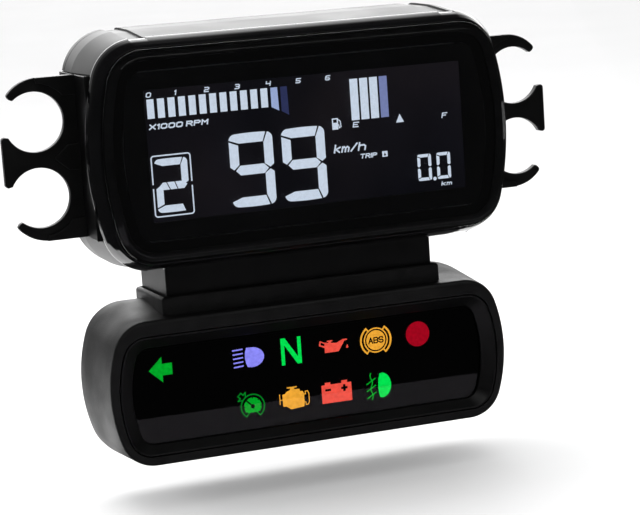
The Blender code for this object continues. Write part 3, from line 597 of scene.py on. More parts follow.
def shell_rear(step=GROOVE_STEP, grow=0.0, start=45.0):
    """Rows of the rear case's outside, round its rear edge to the flat back."""
    rows = [shell(4.6 + grow, CASE_H + grow, start, 0.25, step),
            shell(CASE_W + grow, CASE_H + grow, CASE_BACK - CASE_ROUND, 0, step)]
    for inward, behind in quarter(10, 1):
        drop = CASE_ROUND * inward
        depth = CASE_BACK - CASE_ROUND * behind
        rows.append(shell(CASE_W - drop + grow, CASE_H - drop + grow, depth, 0, step))
    return rows


def sided(side, near, far):
    """The same stretch on the right (side 1) or mirrored to the left (side -1), low end first."""
    return tuple(sorted((side * near, side * far)))


def pockets():
    """The slots in both sides of the shell that take the clip plates' flanges."""
    return [block("pocket", sided(side, 69.7, 92), (13.4, 64), (-27.4, 27.4), 0)
            for side in (-1, 1)]


def make_housing():
    front, seam = HOUSING_D
    inner = cavity(0)
    made = skin("fine_upper_housing", [
        shell(3.1, 3.1, front, 0.3), shell(5.0, 5.1, 33.0, 0.3), shell(4.6, 5.4, seam, 0.3),
        (cavity(2.4), seam, 0.15), (cavity(2.4), seam - 0.9, 0), (inner, seam - 0.9, 0.15),
        (inner, front, 0.2)], closed=True)
    cut(made, *pockets(), block("tenon", (-36.4, 36.4), (26.6, 41.4), (-46, -34), 0))
    holes = [rod("hole", 1.6, 20, (side * 60, 38, z), "X" if side > 0 else "-X", 32)
             for side in (-1, 1) for z in (-22, 22)]
    holes += [rod("hole", 1.8, 12, (side * 42, 32, -46), "Z", 32) for side in (-1, 1)]
    cut(made, *holes)
    piece(made, "gauge", "satin_black", ["upper_housing"])
    seal = ring("fine_housing_seal", cavity(2.1), cavity(0.3), seam - 0.6, seam, 0.15)
    piece(seal, "gauge", "black_rubber", ["housing_seal"])


PILLARS = [(x, z) for x in (-56.0, 56.0) for z in (-22.0, 22.0)]
INSERTS = (-24.0, 24.0)
CONNECTOR = 49.0
BUTTON = (-48.0, -8.0)
VENT = (-48.0, 14.0)


def mouth(name, radius, depth, at, flare=0.35, base=50.0):
    """Cutter for a round hole with a chamfered mouth at the given depth."""
    x, z = at
    return lathe(name, [(0, 0), (radius, 0), (radius, depth - base - flare), (radius + flare, depth - base),
                        (radius + flare, depth - base + 6), (0, depth - base + 6)], (x, base, z), steps=48)


def make_rear_case():
    front = CASE_D[0]
    back = CASE_BACK
    taper = (61.5, 31.0, 91.3, 5.0, 0.0, 0.0, 0.0)
    rows = [(taper, 53.6, 0), (cavity(0), 49.0, 0), (cavity(0), front, 0.2)]
    rows += [(row[0], front if i == 0 else row[1], row[2]) for i, row in enumerate(shell_rear())]
    made = skin("fine_rear_case", rows)
    pad = skin("pad", [(block_shape(34.2, 16.2, 5), back - 0.5, 0), (block_shape(34.0, 16.0, 5), back, 0.5),
                       (block_shape(33.0, 15.0, 4), back + 0.3, 0.4),
                       (block_shape(33, 15, 4), CASE_D[1], 0.35), (block_shape(32, 14, 3), CASE_D[1], 0)],
                       band=10)
    ribs = []
    for side in (-1, 1):
        for z in (-9.5, 9.5):
            ribs.append(block("rib", sided(side, 32.4, 36.4), (back - 1, back + 0.9),
                              (z - 0.6, z + 0.6), 0.25))
        for x in (-22, 0, 22):
            ribs.append(block("rib", (x - 0.6, x + 0.6), (back - 1, back + 0.9),
                              sided(side, 14.6, 31.0), 0.25))
        ribs.append(rod("boss", 5.6, 6, (side * 24.0, 48, 0), steps=48))
    for x, z in PILLARS:
        ribs.append(lathe("screw_ring", [(3.5, 0), (4.6, 0), (4.6, 1.3), (4.3, 1.6), (3.8, 1.6), (3.5, 1.3)],
                          (x, back - 0.9, z), steps=56, ring=True))
    for (x, z), radius in ((BUTTON, 5.0), (VENT, 5.2)):
        ribs.append(lathe("collar", [(radius, 0), (radius + 1.3, 0), (radius + 1.3, 1.4), (radius + 1.0, 1.7),
                                     (radius + 0.3, 1.7), (radius, 1.4)], (x, back - 0.9, z), steps=64,
                                     ring=True))
    frame_rows = [(block_shape(14.2, 10.2, 2.2, CONNECTOR), back - 0.8, 0),
                  (block_shape(14.2, 10.2, 2.2, CONNECTOR), back + 0.8, 0.3),
                  (block_shape(12.4, 8.4, 1.2, CONNECTOR), back + 0.8, 0.2),
                  (block_shape(12.4, 8.4, 1.2, CONNECTOR), back - 0.8, 0)]
    ribs.append(skin("connector_frame", frame_rows, closed=True, band=5))
    join(made, pad, *ribs)
    cut(made, *pockets())
    holes = [mouth("hole", 3.7, CASE_D[1], (x, 0)) for x in INSERTS]
    holes += [mouth("hole", 1.8, back - 1.4, at, 0.2) for at in PILLARS]
    holes += [mouth("recess", 3.4, back + 0.7, at, 0.25, back - 1.4) for at in PILLARS]
    holes += [mouth("hole", 4.9, back + 0.8, BUTTON, 0.2), mouth("hole", 3.3, back, VENT, 0.1)]
    opening = block_shape(12.3, 8.3, 1.0, CONNECTOR)
    holes.append(skin("opening", [(opening, 50, 0), (opening, 60, 0)], band=5))
    cut(made, *holes)
    piece(made, "gauge", "satin_black", ["rear_case"])


def star(radius, depth=0.14, lobes=6, steps=48):
    """Outline of a six-lobed screw drive."""
    made = []
    for i in range(steps):
        turn = 2 * math.pi * i / steps
        reach = radius * (1 + depth * math.cos(lobes * turn))
        made.append((reach * math.cos(turn), reach * math.sin(turn)))
    return made


def make_screw(name, node, place, axis, body, shank, head, length, thickness, drive):
    """A pan-head screw: pointed thread, rounded head and a six-lobed drive."""
    profile = [(0, 0), (shank * 0.45, 0.15), (shank * 0.8, 0.8)]
    turns = int((length - 1.6) / 0.9)
    for i in range(turns):
        low = 0.9 + 0.9 * i
        profile += [(shank * 0.8, low), (shank, low + 0.3), (shank * 0.8, low + 0.6)]
    top = length + thickness
    profile += [(shank * 0.85, length - 0.4), (shank * 0.85, length), (head * 0.97, length),
                (head, length + 0.12), (head, top - thickness * 0.55)]
    for inward, behind in quarter(5, 1):
        profile.append((head - thickness * 0.75 * inward, top - thickness * 0.55 * behind))
    profile.append((0, top))
    made = lathe(name, profile, place, axis, 48)
    socket = prism("drive", [(star(drive), top - 0.75 * thickness - 0.4), (star(drive), top - 0.12),
                             (star(drive + 0.15), top + 0.1), (star(drive + 0.15), top + 1)], place, axis)
    cut(made, socket)
    piece(made, body, "steel", [node])


def make_rear_fittings():
    for x, node in zip(INSERTS, ("insert_left", "insert_right")):
        bore = []
        for i in range(9):
            bore += [(2.05, 0.3 + 0.86 * i), (2.3, 0.73 + 0.86 * i)]
        profile = [(2.4, 0), *bore, (2.05, 7.8), (2.4, 8.1), (3.25, 8.1), (3.4, 7.9), (3.4, 4.6), (3.1, 4.4),
                   (3.1, 3.6), (3.4, 3.4), (3.4, 0.2), (3.2, 0)]
        piece(lathe("fine_" + node, profile, (x, 49.8, 0), ring=True), "gauge", "brass", [node])
    for i, (x, z) in enumerate(PILLARS):
        make_screw("fine_case_screw_%d" % (i + 1), "case_screw_%d" % (i + 1), (x, 41.0, z), "Y", "gauge",
                   1.4, 2.9, 13.9, 1.6, 1.25)
    vent = [(0, 0), (2.4, 0), (3.0, 0.5), (3.0, 2.9), (4.3, 2.9), (4.4, 3.0), (4.4, 3.5), (4.1, 3.9),
            (3.7, 4.1), (1.5, 4.1), (1.2, 3.9), (1.2, 3.4), (0, 3.3)]
    made = lathe("fine_vent_plug", vent, (VENT[0], 53.4, VENT[1]))
    slots = [block("slot", (VENT[0] - 5, VENT[0] + 5), (57.0, 58.5), (VENT[1] - 0.35, VENT[1] + 0.35), 0),
             block("slot", (VENT[0] - 0.35, VENT[0] + 0.35), (57.0, 58.5), (VENT[1] - 5, VENT[1] + 5), 0)]
    cut(made, *slots)
    piece(made, "gauge", "black_rubber", ["vent_plug"])


def make_button():
    depth = span("trip_button")[1]
    height = depth[1] - depth[0]
    stem = [(0, 0), (1.3, 0), (1.5, 0.2), (1.5, 18.8), (1.7, 19.0), (5.5, 19.0), (5.6, 19.1), (5.6, 19.9),
            (4.8, 20.1), (4.6, 20.3), (4.6, height - 1.2), (4.45, height - 0.7), (4.15, height - 0.35),
            (3.6, height - 0.1), (2.9, height), (2.2, height), (1.9, height - 0.1), (1.6, height - 0.35),
            (1.0, height - 0.5), (0, height - 0.55)]
    piece(lathe("fine_trip_button", stem, (BUTTON[0], depth[0], BUTTON[1])), "button", "black_rubber",
          ["trip_button"])


def make_connector():
    depth = span("connector_shell")[1]
    made = skin("fine_connector_shell", [
        (block_shape(11.4, 7.4, 0.6, CONNECTOR), depth[0], 0),
        (block_shape(12, 8, 1.0, CONNECTOR), depth[0], 0.4),
        (block_shape(12, 8, 1.0, CONNECTOR), depth[1], 0.3),
        (block_shape(10.6, 6.6, 0.8, CONNECTOR), depth[1], 0.2),
        (block_shape(10.4, 6.4, 0.8, CONNECTOR), 42.0, 0.1),
        (block_shape(9.8, 5.8, 0.6, CONNECTOR), 42.0, 0)], band=5)
    keys = [block("key", (CONNECTOR + k - 0.7, CONNECTOR + k + 0.7), (42.5, 54.6), (5.7, 6.9), 0.15)
            for k in (-5, 5)]
    keys.append(block("latch", (CONNECTOR - 2, CONNECTOR + 2), (49.5, 52.5), (5.6, 6.9), 0.3))
    keys.append(block("key", (CONNECTOR - 0.7, CONNECTOR + 0.7), (42.5, 54.6), (-6.9, -5.7), 0.15))
    join(made, *keys)
    rows = [(CONNECTOR - 8 + 3.2 * i, row) for row in (-3.2, 3.2) for i in range(6)]
    cut(made, *[block("way", (px - 0.8, px + 0.8), (30, 44), (pz - 0.8, pz + 0.8), 0) for px, pz in rows])
    piece(made, "gauge", "chip_black", ["connector_shell"])
    pins = [block("header", (CONNECTOR - 9.5, CONNECTOR + 9.5), (30.6, 32.0), (-4.5, 4.5), 0.2)]
    outlines = [([(half, half), (-half, half), (-half, -half), (half, -half)], height)
                for half, height in ((0.5, 0), (0.5, 22.1), (0.22, 23.1))]
    pins += [prism("pin", outlines, (px, 27.9, pz)) for px, pz in rows]
    made = join(pins[0], *pins[1:])
    made.name = "fine_connector_pins"
    piece(made, "gauge", "tinned_copper", ["connector_pins"])


# ---------------------------------------------------------------- clip plates and neck

CLIP_AT, CLIP_UP, CLIP_R = 86.3, 12.6, 10.0    # centres and radius of the two C-shaped clips
CLIP_PLATE = (28.8, 31.8)                       # the plate's front and back


def reach_point(radius, degrees):
    return polar((CLIP_AT, CLIP_UP), radius, degrees)


def clip_outline():
    """Outline of a right-hand clip plate: the upper half, then its mirror image."""
    tip_x = CLIP_X[1]
    tip = []
    for i in range(7):
        turn = math.radians(i / 6 * 118)
        tip.append((tip_x - 1.05 + 1.05 * math.cos(turn), 7.3 + 1.05 * math.sin(turn)))
    hole = [reach_point(CLIP_R, -27 - 283 * i / 72) for i in range(73)]
    end = [reach_point(11.3 - 1.3 * math.cos(math.radians(180 * i / 8)),
                       50 - 3.6 * math.sin(math.radians(180 * i / 8)))
           for i in range(1, 9)]
    back = [reach_point(12.6 + 1.9 * i / 16, 48 + 46 * i / 16) for i in range(1, 17)]
    upper = tip + hole + end + back + [(70.0, CLIP_Z[1])]
    return upper + [(x, -z) for x, z in reversed(upper)]


def inset(points, amount):
    """A closed outline moved inwards along its corners' normals."""
    made = []
    area = sum(a[0] * b[1] - b[0] * a[1] for a, b in zip(points, points[1:] + points[:1]))
    sign = 1 if area > 0 else -1
    for i, (x, z) in enumerate(points):
        ends = []
        for a, b in ((points[i - 1], points[i]), (points[i], points[(i + 1) % len(points)])):
            run = math.hypot(b[0] - a[0], b[1] - a[1])
            ends.append((-(b[1] - a[1]) / run * sign, (b[0] - a[0]) / run * sign))
        nx, nz = ends[0][0] + ends[1][0], ends[0][1] + ends[1][1]
        size = max(nx * nx + nz * nz, 0.6) / 2
        made.append((x + nx * amount / size, z + nz * amount / size))
    return made


def rounded_plate(name, points, depth, radius, both=True):
    """A plate whose front edge, and rear edge if both, is rounded to the radius."""
    steps = [(radius * behind, radius * inward) for inward, behind in quarter(4)]
    sections = [(inset(points, side), depth[0] + down) for side, down in steps]
    if both:
        sections += [(inset(points, side), depth[1] - down) for side, down in reversed(steps)]
    else:
        sections.append((points, depth[1]))
    return skin_points(name, sections)


def make_clip(side, word):
    def mirrored(points):
        return [(side * x, z) for x, z in points]

    front = CLIP_PLATE[0]
    made = rounded_plate("fine_clip_plate_" + word, mirrored(clip_outline()), CLIP_PLATE, 0.4)
    root = 71.0
    raised = (front - 0.8, front + 1.0)
    middle = mirrored([(root, 4.4), (75.8, 4.3), (80.3, 0.5), (80.3, -0.5), (75.8, -4.3), (root, -4.4)])
    bosses = [rounded_plate("boss", middle, raised, 0.3, False)]
    for half in (-1, 1):
        arc = [reach_point(12.8, 97 + 44 * i / 16) for i in range(17)]
        corner = [(root, 20.4), (root, CLIP_Z[1]), (85.2, CLIP_Z[1])]
        boss = mirrored([(x, half * z) for x, z in arc + corner])
        bosses.append(rounded_plate("boss", boss, raised, 0.3, False))
    join(made, *bosses)
    x = sided(side, 70.0, 72.0)
    join(made, block("flange", x, (CLIP_D[0], CLIP_D[1]), CLIP_Z, 0.35))
    axis = "X" if side > 0 else "-X"
    cutters = [rod("scallop", 5.5, 12, (side * 65, CLIP_D[0] - 2.4, half * CLIP_UP),
                     axis, 64) for half in (-1, 1)]
    cutters += [rod("bore", 1.7, 12, (side * 65, 38, half * 22), axis, 40)
                for half in (-1, 1)]
    cut(made, *cutters)
    piece(made, "gauge", "clip_nylon", ["clip_plate_" + word], 40)
    for half, name in ((1, "upper"), (-1, "lower")):
        label = "clip_screw_%s_%s" % (word, name)
        make_screw("fine_" + label, label, (side * 62.0, 38, half * 22), axis, "gauge", 1.3, 2.8, 10.3, 1.7,
                   1.15)


def make_neck():
    made = block("fine_neck", NECK_X, NECK_D, (NECK_Z[0], -37), 0.5, 4)
    saddle = [shell(3.1 + GAP, 3.1 + GAP, 11, 0, 0.0), shell(5.0 + GAP, 5.1 + GAP, 33.0, 0, 0.0)]
    saddle += shell_rear(0.0, GAP)
    made = cut(made, skin("saddle", saddle))
    join(made, block("tenon", (-36, 36), (27, 41), (-42, -33), 0.4))
    cutters = [block("passage", (-30, 30), (30, 38), (-50, -30), 0),
               block("chamber", (-30, 30), (30, 46), (-65, -45), 0)]
    cutters += [rod("bore", 1.7, 20, (side * 42, 32, -53), "Z", 32) for side in (-1, 1)]
    cut(made, *cutters)
    piece(made, "gauge", "satin_black", ["neck"])


# ---------------------------------------------------------------- lamp panel

FRAME = (68.5, 20.6, 48.4, 8.5, 0.0, -81.7, 0.0)
GLASS = (63.4, 16.6, 43.4, 5.0, 0.0, -82.1, 0.0)
COVER_SCREWS = [(x, z) for x in (-59.5, 59.5) for z in (-94.0, -73.2)]


def grown(shape, amount):
    return (shape[0] + amount, shape[1] + amount, shape[2] + amount, shape[3] + amount, *shape[4:])


def make_panel_housing():
    front = PANEL_D[0]
    flare, radius = 2.3, 5.0
    back = 54.0
    seat = (65.1, 17.6, 45.1, 6.0, 0.0, -82.1, 0.0)
    rows = [(grown(FRAME, 0), front, 0.35), (panel(0), front, 1.3), (panel(flare), 44.4, 1.5)]
    rows += [(panel(flare - radius * inward), back - radius * behind, 0) for inward, behind in quarter(8)]
    recess = panel_cavity(2.5, 1.7)
    inside = panel_cavity(0, 0)
    rows += [(recess, back, 0.25), (recess, 49.9, 0), (inside, 49.9, 0.2), (inside, 21.6, 0), (seat, 21.6, 0),
             (seat, 19.7, 0), (FRAME, 19.7, 0)]
    made = skin("fine_lower_housing", rows, closed=True, band=45)
    collar = block("collar", (-50.2, 50.2), (20.2, 57.0), (-63.5, -49.3), 1.3, 5)
    for vertex in collar.data.vertices:
        if vertex.co.z > -0.0545:
            depth = (vertex.co.y - FRONT) / MM
            vertex.co.z -= 1.5 * (depth - 20.2) / 36.8 * MM
    join(made, collar)
    cutters = [block("socket", (-48.9, 48.9), (22.0, 56.0), (-62.2, -40), 0.3),
               block("receptacle_hole", (-27, 27), (39, 45), (-70, -60), 0)]
    cut(made, *cutters)
    cut(made, collar_mouth())
    bosses = [rod("boss", 3.2, 13.5, (x, 36, z), steps=40) for x, z in COVER_SCREWS]
    join(made, *bosses)
    cut(made, *[rod("bore", 1.5, 20, (x, 38, z), steps=32) for x, z in COVER_SCREWS])
    piece(made, "lamp_panel", "grained_black", ["lower_housing"])


def collar_mouth():
    """Cutter that chamfers the inside of the collar's rim."""
    low = [(-48.9, 22.0), (48.9, 22.0), (48.9, 56.0), (-48.9, 56.0)]
    return bridge("collar_mouth", [
        [point(x + math.copysign(grow, x), d + (grow if d > 40 else -grow) * 0.3, z) for x, d in low]
        for z, grow in ((-51.6, 0.0), (-50.4, 0.0), (-47.0, 2.2))])


def make_panel_front():
    depth = span("lower_inner_bezel")[1]
    outer = (68.2, 20.3, 48.1, 8.2, 0.0, -81.7, 0.0)
    lip = (67.7, 19.8, 47.6, 7.7, 0.0, -81.7, 0.0)
    rows = [(outer, depth[0], 0.15), (lip, depth[0], 0.3), (GLASS, 18.7, 0.4), (GLASS, depth[1], 0.1),
            (outer, depth[1], 0.1)]
    made = skin("fine_lower_inner_bezel", rows, closed=True, band=45)
    piece(made, "lamp_panel", "smooth_dark", ["lower_inner_bezel"])
    edge = (64.8, 17.3, 44.8, 5.7, 0.0, -82.1, 0.0)
    piece(slab("fine_lower_window", edge, WINDOW_D, 0.2), "lamp_panel", "smoked_lens", ["lower_window"])
    piece(slab("fine_icon_film", panel_cavity(-0.4, -0.4), FILM_D, 0.05), "lamp_panel", "icon_film",
          ["icon_film"])


def make_panel_rear():
    start, end = COVER_D
    edge = panel_cavity(2.1, 1.3)
    rim, sunk, middle = [(64.0 - side, 17.1 - side, 45.0 - side, 1.0, 0.0, -83.6, 0.0)
                         for side in (4.5, 5.0, 7.0)]
    rows = [(panel_cavity(1, 0.2), start, 0), (edge, start, 0.2), (edge, end, 0.6), (rim, end, 0.3),
            (sunk, end - 0.6, 0.2), (middle, end - 0.6, 0)]
    made = skin("fine_lower_rear_cover", rows, band=45)
    ribs = [block("rib", (x - 0.6, x + 0.6), (end - 1.2, end - 0.05), (-94.8, -72.4), 0.25)
            for x in (-36, -18, 0, 18, 36)]
    join(made, *ribs)
    cutters = []
    for x, z in COVER_SCREWS:
        cutters.append(rod("hole", 1.5, 12, (x, 48, z), steps=32))
        cutters.append(mouth("counterbore", 2.9, end, (x, z), 0.25, 51.9))
    cut(made, *cutters)
    piece(made, "lamp_panel", "satin_black", ["lower_rear_cover"])
    for i, (x, z) in enumerate(COVER_SCREWS):
        name = "cover_screw_%d" % (i + 1)
        make_screw("fine_" + name, name, (x, 40, z), "Y", "lamp_panel", 1.2, 2.6, 12.2, 1.5, 1.05)


# ---------------------------------------------------------------- lit shapes

def flat(name, polygons, depth, holes=(), merge=False):
    """Thin plates of (x, z) polygons at a depth, with holes cut through and overlaps merged."""
    made = join_meshes(name, *[skin_points("part", [(points, depth[0]), (points, depth[1])])
                               for points in polygons])
    if merge:
        first = made.modifiers.new("merge", "BOOLEAN")
        first.operation = "UNION"
        first.solver = "EXACT"
        first.use_self = True
        far = skin_points("far", [([(500, 500), (500.1, 500), (500, 500.1)], d) for d in depth])
        first.object = far
        settle(made)
        bpy.data.objects.remove(far)
        drop_far(made)
    if holes:
        low, high = depth[0] - 1, depth[1] + 1
        cut(made, *[skin_points("hole", [(points, low), (points, high)]) for points in holes])
    return made


def drop_far(made):
    """Delete the small far prism that flat() merges a shape with."""
    bm = bmesh.new()
    bm.from_mesh(made.data)
    bmesh.ops.delete(bm, geom=[v for v in bm.verts if v.co.x > 0.4], context="VERTS")
    bm.to_mesh(made.data)
    bm.free()


def stroke(points, width):
    """A line of (x, z) points drawn out to a width, with square ends."""
    left, right = [], []
    for i, (x, z) in enumerate(points):
        before = points[max(i - 1, 0)]
        after = points[min(i + 1, len(points) - 1)]
        nx, nz = 0.0, 0.0
        for a, b in ((before, (x, z)), ((x, z), after)):
            run = math.hypot(b[0] - a[0], b[1] - a[1])
            if run:
                nx, nz = nx - (b[1] - a[1]) / run, nz + (b[0] - a[0]) / run
        size = math.hypot(nx, nz)
        half = width / 2 / max(size / 2, 0.5) if 0 < i < len(points) - 1 else width / 2
        nx, nz = nx / size * half, nz / size * half
        left.append((x + nx, z + nz))
        right.append((x - nx, z - nz))
    return left + right[::-1]


def arc(mid, radius, start, end, steps=24):
    return [polar(mid, radius, start + (end - start) * i / steps) for i in range(steps + 1)]


def disc(mid, radius, steps=56):
    return arc(mid, radius, 0, 360, steps)[:-1]


def rect(left, right, first, last):
    """Corners of a rectangle, from the two at height first to the two at height last."""
    return [(left, first), (right, first), (right, last), (left, last)]


def lines(points, width):
    """Bars along a chain of points, each run on by half the width so that they overlap at corners."""
    made = []
    for (ax, az), (bx, bz) in zip(points, points[1:]):
        run = math.hypot(bx - ax, bz - az) * 2 / width
        ux, uz = (bx - ax) / run, (bz - az) / run
        made.append([(ax - ux - uz, az - uz + ux), (ax - ux + uz, az - uz - ux), (bx + ux + uz, bz + uz - ux),
                     (bx + ux - uz, bz + uz + ux)])
    return made


# Strokes of a squarish letter: each point is its column (0-4) and its row (0-6) on a grid.
GLYPHS = {
    "0": ["10 01 05 16 36 45 41 30 10"], "1": ["15 26 20"], "2": ["06 36 45 44 33 13 02 00 40"],
    "3": ["06 36 45 44 33 13", "33 42 41 30 00"], "4": ["06 03 43", "46 40"],
    "5": ["46 06 03 33 42 41 30 00"], "6": ["46 16 05 01 10 30 41 42 33 03"], "X": ["00 46", "06 40"],
    "R": ["00 06 36 45 44 33 03", "23 40"], "P": ["00 06 36 45 44 33 03"], "M": ["00 06 23 46 40"],
    "T": ["06 46", "26 20"], "I": ["20 26"], "E": ["46 06 00 40", "03 33"], "F": ["46 06 00", "03 33"],
    "k": ["00 06", "02 34", "12 30"], "m": ["00 04", "03 14 23 20", "23 34 43 40"],
    "h": ["00 06", "03 14 34 43 40"], "/": ["00 36"], "A": ["00 26 40", "12 32"],
    "B": ["00 06 36 45 44 33 03", "33 42 41 30 00"], "S": ["45 36 16 05 04 13 33 42 41 30 10 01"],
}


def label(body, x, z, weight=0.3, slant=0.22, space=1.9):
    """Bars of a word that fills the room between two values of x and of z."""
    chains, pen = [], 0
    for letter in body:
        if letter == " ":
            pen += space
            continue
        strokes = [[(int(spot[0]), int(spot[1])) for spot in stroke.split()] for stroke in GLYPHS[letter]]
        low = min(column for chain in strokes for column, _ in chain)
        chains += [[(pen + column - low, row) for column, row in chain] for chain in strokes]
        pen += max(column for chain in strokes for column, _ in chain) - low + space
    high = z[1] - z[0] - weight
    wide = (x[1] - x[0] - weight - slant * high) / (pen - space or 1)
    bars = []
    for chain in chains:
        bars += lines([(x[0] + weight / 2 + column * wide + slant * row * high / 6,
                        z[0] + weight / 2 + row * high / 6)
                       for column, row in chain], weight)
    return bars


def digit(lit, x, z, wide, radius, gap, bulge=0.0):
    """Polygons of a seven-segment digit between two values of x and of z; lit names its segments."""
    hw, hh = (x[1] - x[0]) / 2, (z[1] - z[0]) / 2
    t, g = wide, gap / 2
    corner = arc((-hw + radius, hh - radius), radius, 180, 90, 8)
    top = [(-hw + radius + (2 * hw - 2 * radius - g) * i / 8, hh) for i in range(1, 9)]
    shapes = {
        "a": [(-hw, hh - radius + g)] + corner[1:] + top + [(hw - t - g, hh - t), (-hw + t + g, hh - t)],
        "b": [(hw - radius + g, hh)] + [(-px, pz) for px, pz in reversed(corner)][1:]
             + [(hw, 0.3 * t + g), (hw - 0.42 * t, g), (hw - t, 0.5 * t), (hw - t, hh - t - g)],
        "f": [(-hw, hh - radius - g), (-hw + t, hh - t - 2 * g), (-hw + t, 0.5 * t + g), (-hw + 0.42 * t, g),
              (-hw, 0.3 * t + g)],
        "g": [(-hw + 0.5 * t + g, 0), (-hw + t + g, 0.5 * t), (hw - t - g, 0.5 * t), (hw - 0.5 * t - g, 0),
              (hw - t - g, -0.5 * t), (-hw + t + g, -0.5 * t)],
    }
    for source, copy in (("a", "d"), ("b", "c"), ("f", "e")):
        shapes[copy] = [(px, -pz) for px, pz in shapes[source]]
    mid_x, mid_z = sum(x) / 2, sum(z) / 2
    return [[(mid_x + px, mid_z + pz + bulge * pz / hh * (1 - (px / hw) ** 2)) for px, pz in shapes[s]]
            for s in lit]


def make_dial():
    depth = (GLASS_D[0] - 0.12, GLASS_D[0] - 0.05)
    bars = [rect(x, x + 2.35, 18.5, 12.2) for x in (-54.2 + 3.515 * i for i in range(12))]
    fuel = [rect(x, x + 2.8, 18.8, 5.0) for x in (15.65, 19.15, 22.65)]
    shapes = bars + fuel
    for x in ((-27.7, -12.6), (-9.5, 5.6)):
        shapes += digit("abcdfg", x, (-19.6, 4.2), 3.15, 2.0, 0.6, 0.35)
    shapes += digit("abed", (-53.2, -42.2), (-18.6, -1.2), 2.3, 1.4, 0.45, 0.15)
    shapes += [[(-52.3, -10.3), (-50.9, -8.85), (-49.8, -8.85), (-48.7, -11.3), (-51.3, -11.3)],
               [(-49.45, -8.85), (-47.05, -8.85), (-46.15, -11.3), (-48.35, -11.3)],
               [(-46.7, -8.85), (-44.2, -8.85), (-42.7, -10.0), (-43.8, -11.3), (-45.8, -11.3)]]
    for x in ((38.2, 43.2), (45.2, 50.2)):
        shapes += digit("abcdef", x, (-17.9, -8.9), 1.05, 0.7, 0.3)
    shapes.append(disc((44.2, -17.6), 0.62, 20))
    frame_top = [(-54.2, -9.3), (-54.2, -0.9), *arc((-53.3, -0.9), 0.9, 180, 90, 6)[1:],
                 *arc((-42.0, -0.9), 0.9, 90, 0, 6), (-41.1, -9.3)]
    shapes.append(stroke(frame_top, 0.42))
    shapes.append(stroke([(x, -19.9 - z) for x, z in frame_top], 0.42))
    shapes.append([(32.8, 5.6), (34.2, 2.75), (31.4, 2.75)])
    piece(flat("dial_segments", shapes, depth), "gauge", "lit_white")
    for name, bar, glow in (
            ("dial_fading_bar", [(-12.05, 18.5), (-9.7, 18.5), (-9.5, 10.75), (-12.05, 12.1)], "lit_fading"),
            ("dial_faint_bar", [(-8.65, 18.5), (-6.35, 18.5), (-6.15, 9.0), (-8.65, 10.5)], "lit_faint"),
            ("dial_grey_bar", rect(26.15, 28.95, 18.8, 5.0), "lit_grey")):
        piece(flat(name, [bar], depth), "gauge", glow)
    words = []
    for i, mid in enumerate((-53.35, -44.4, -33.75, -23.3, -12.65, -2.2, 8.12)):
        half = 0.5 if i == 1 else 1.0
        words += label(str(i), (mid - half, mid + half), (19.1, 20.75), 0.34)
    for body, x, z, weight in (("X1000 RPM", (-54.1, -33.9), (8.6, 10.4), 0.44),
                               ("km/h", (8.5, 20.4), (-5.4, -2.5), 0.52),
                               ("TRIP", (17.7, 23.9), (-8.1, -6.5), 0.36),
                               ("km", (46.4, 50.5), (-20.3, -18.8), 0.3),
                               ("E", (15.8, 18.2), (2.6, 4.4), 0.36), ("F", (47.9, 50.1), (2.7, 4.5), 0.36)):
        words += label(body, x, z, weight, space=1.7)
    piece(flat("dial_labels", words, depth, merge=True), "gauge", "lit_label")
    hose = stroke([(10.6, 5.9), (11.5, 5.2), (11.7, 3.3), (11.1, 3.0), (10.9, 4.2)], 0.3)
    pump = flat("dial_pump", [rect(8.6, 10.7, 2.5, 6.3), hose], depth, [rect(9.0, 10.3, 4.8, 5.9)])
    box_sign = flat("dial_box", [rect(25.7, 27.6, -8.3, -6.4)], depth,
                    [[(26.15, -7.9), (27.15, -7.9), (26.65, -6.75)]])
    piece(join_meshes("dial_signs", pump, box_sign), "gauge", "lit_white")


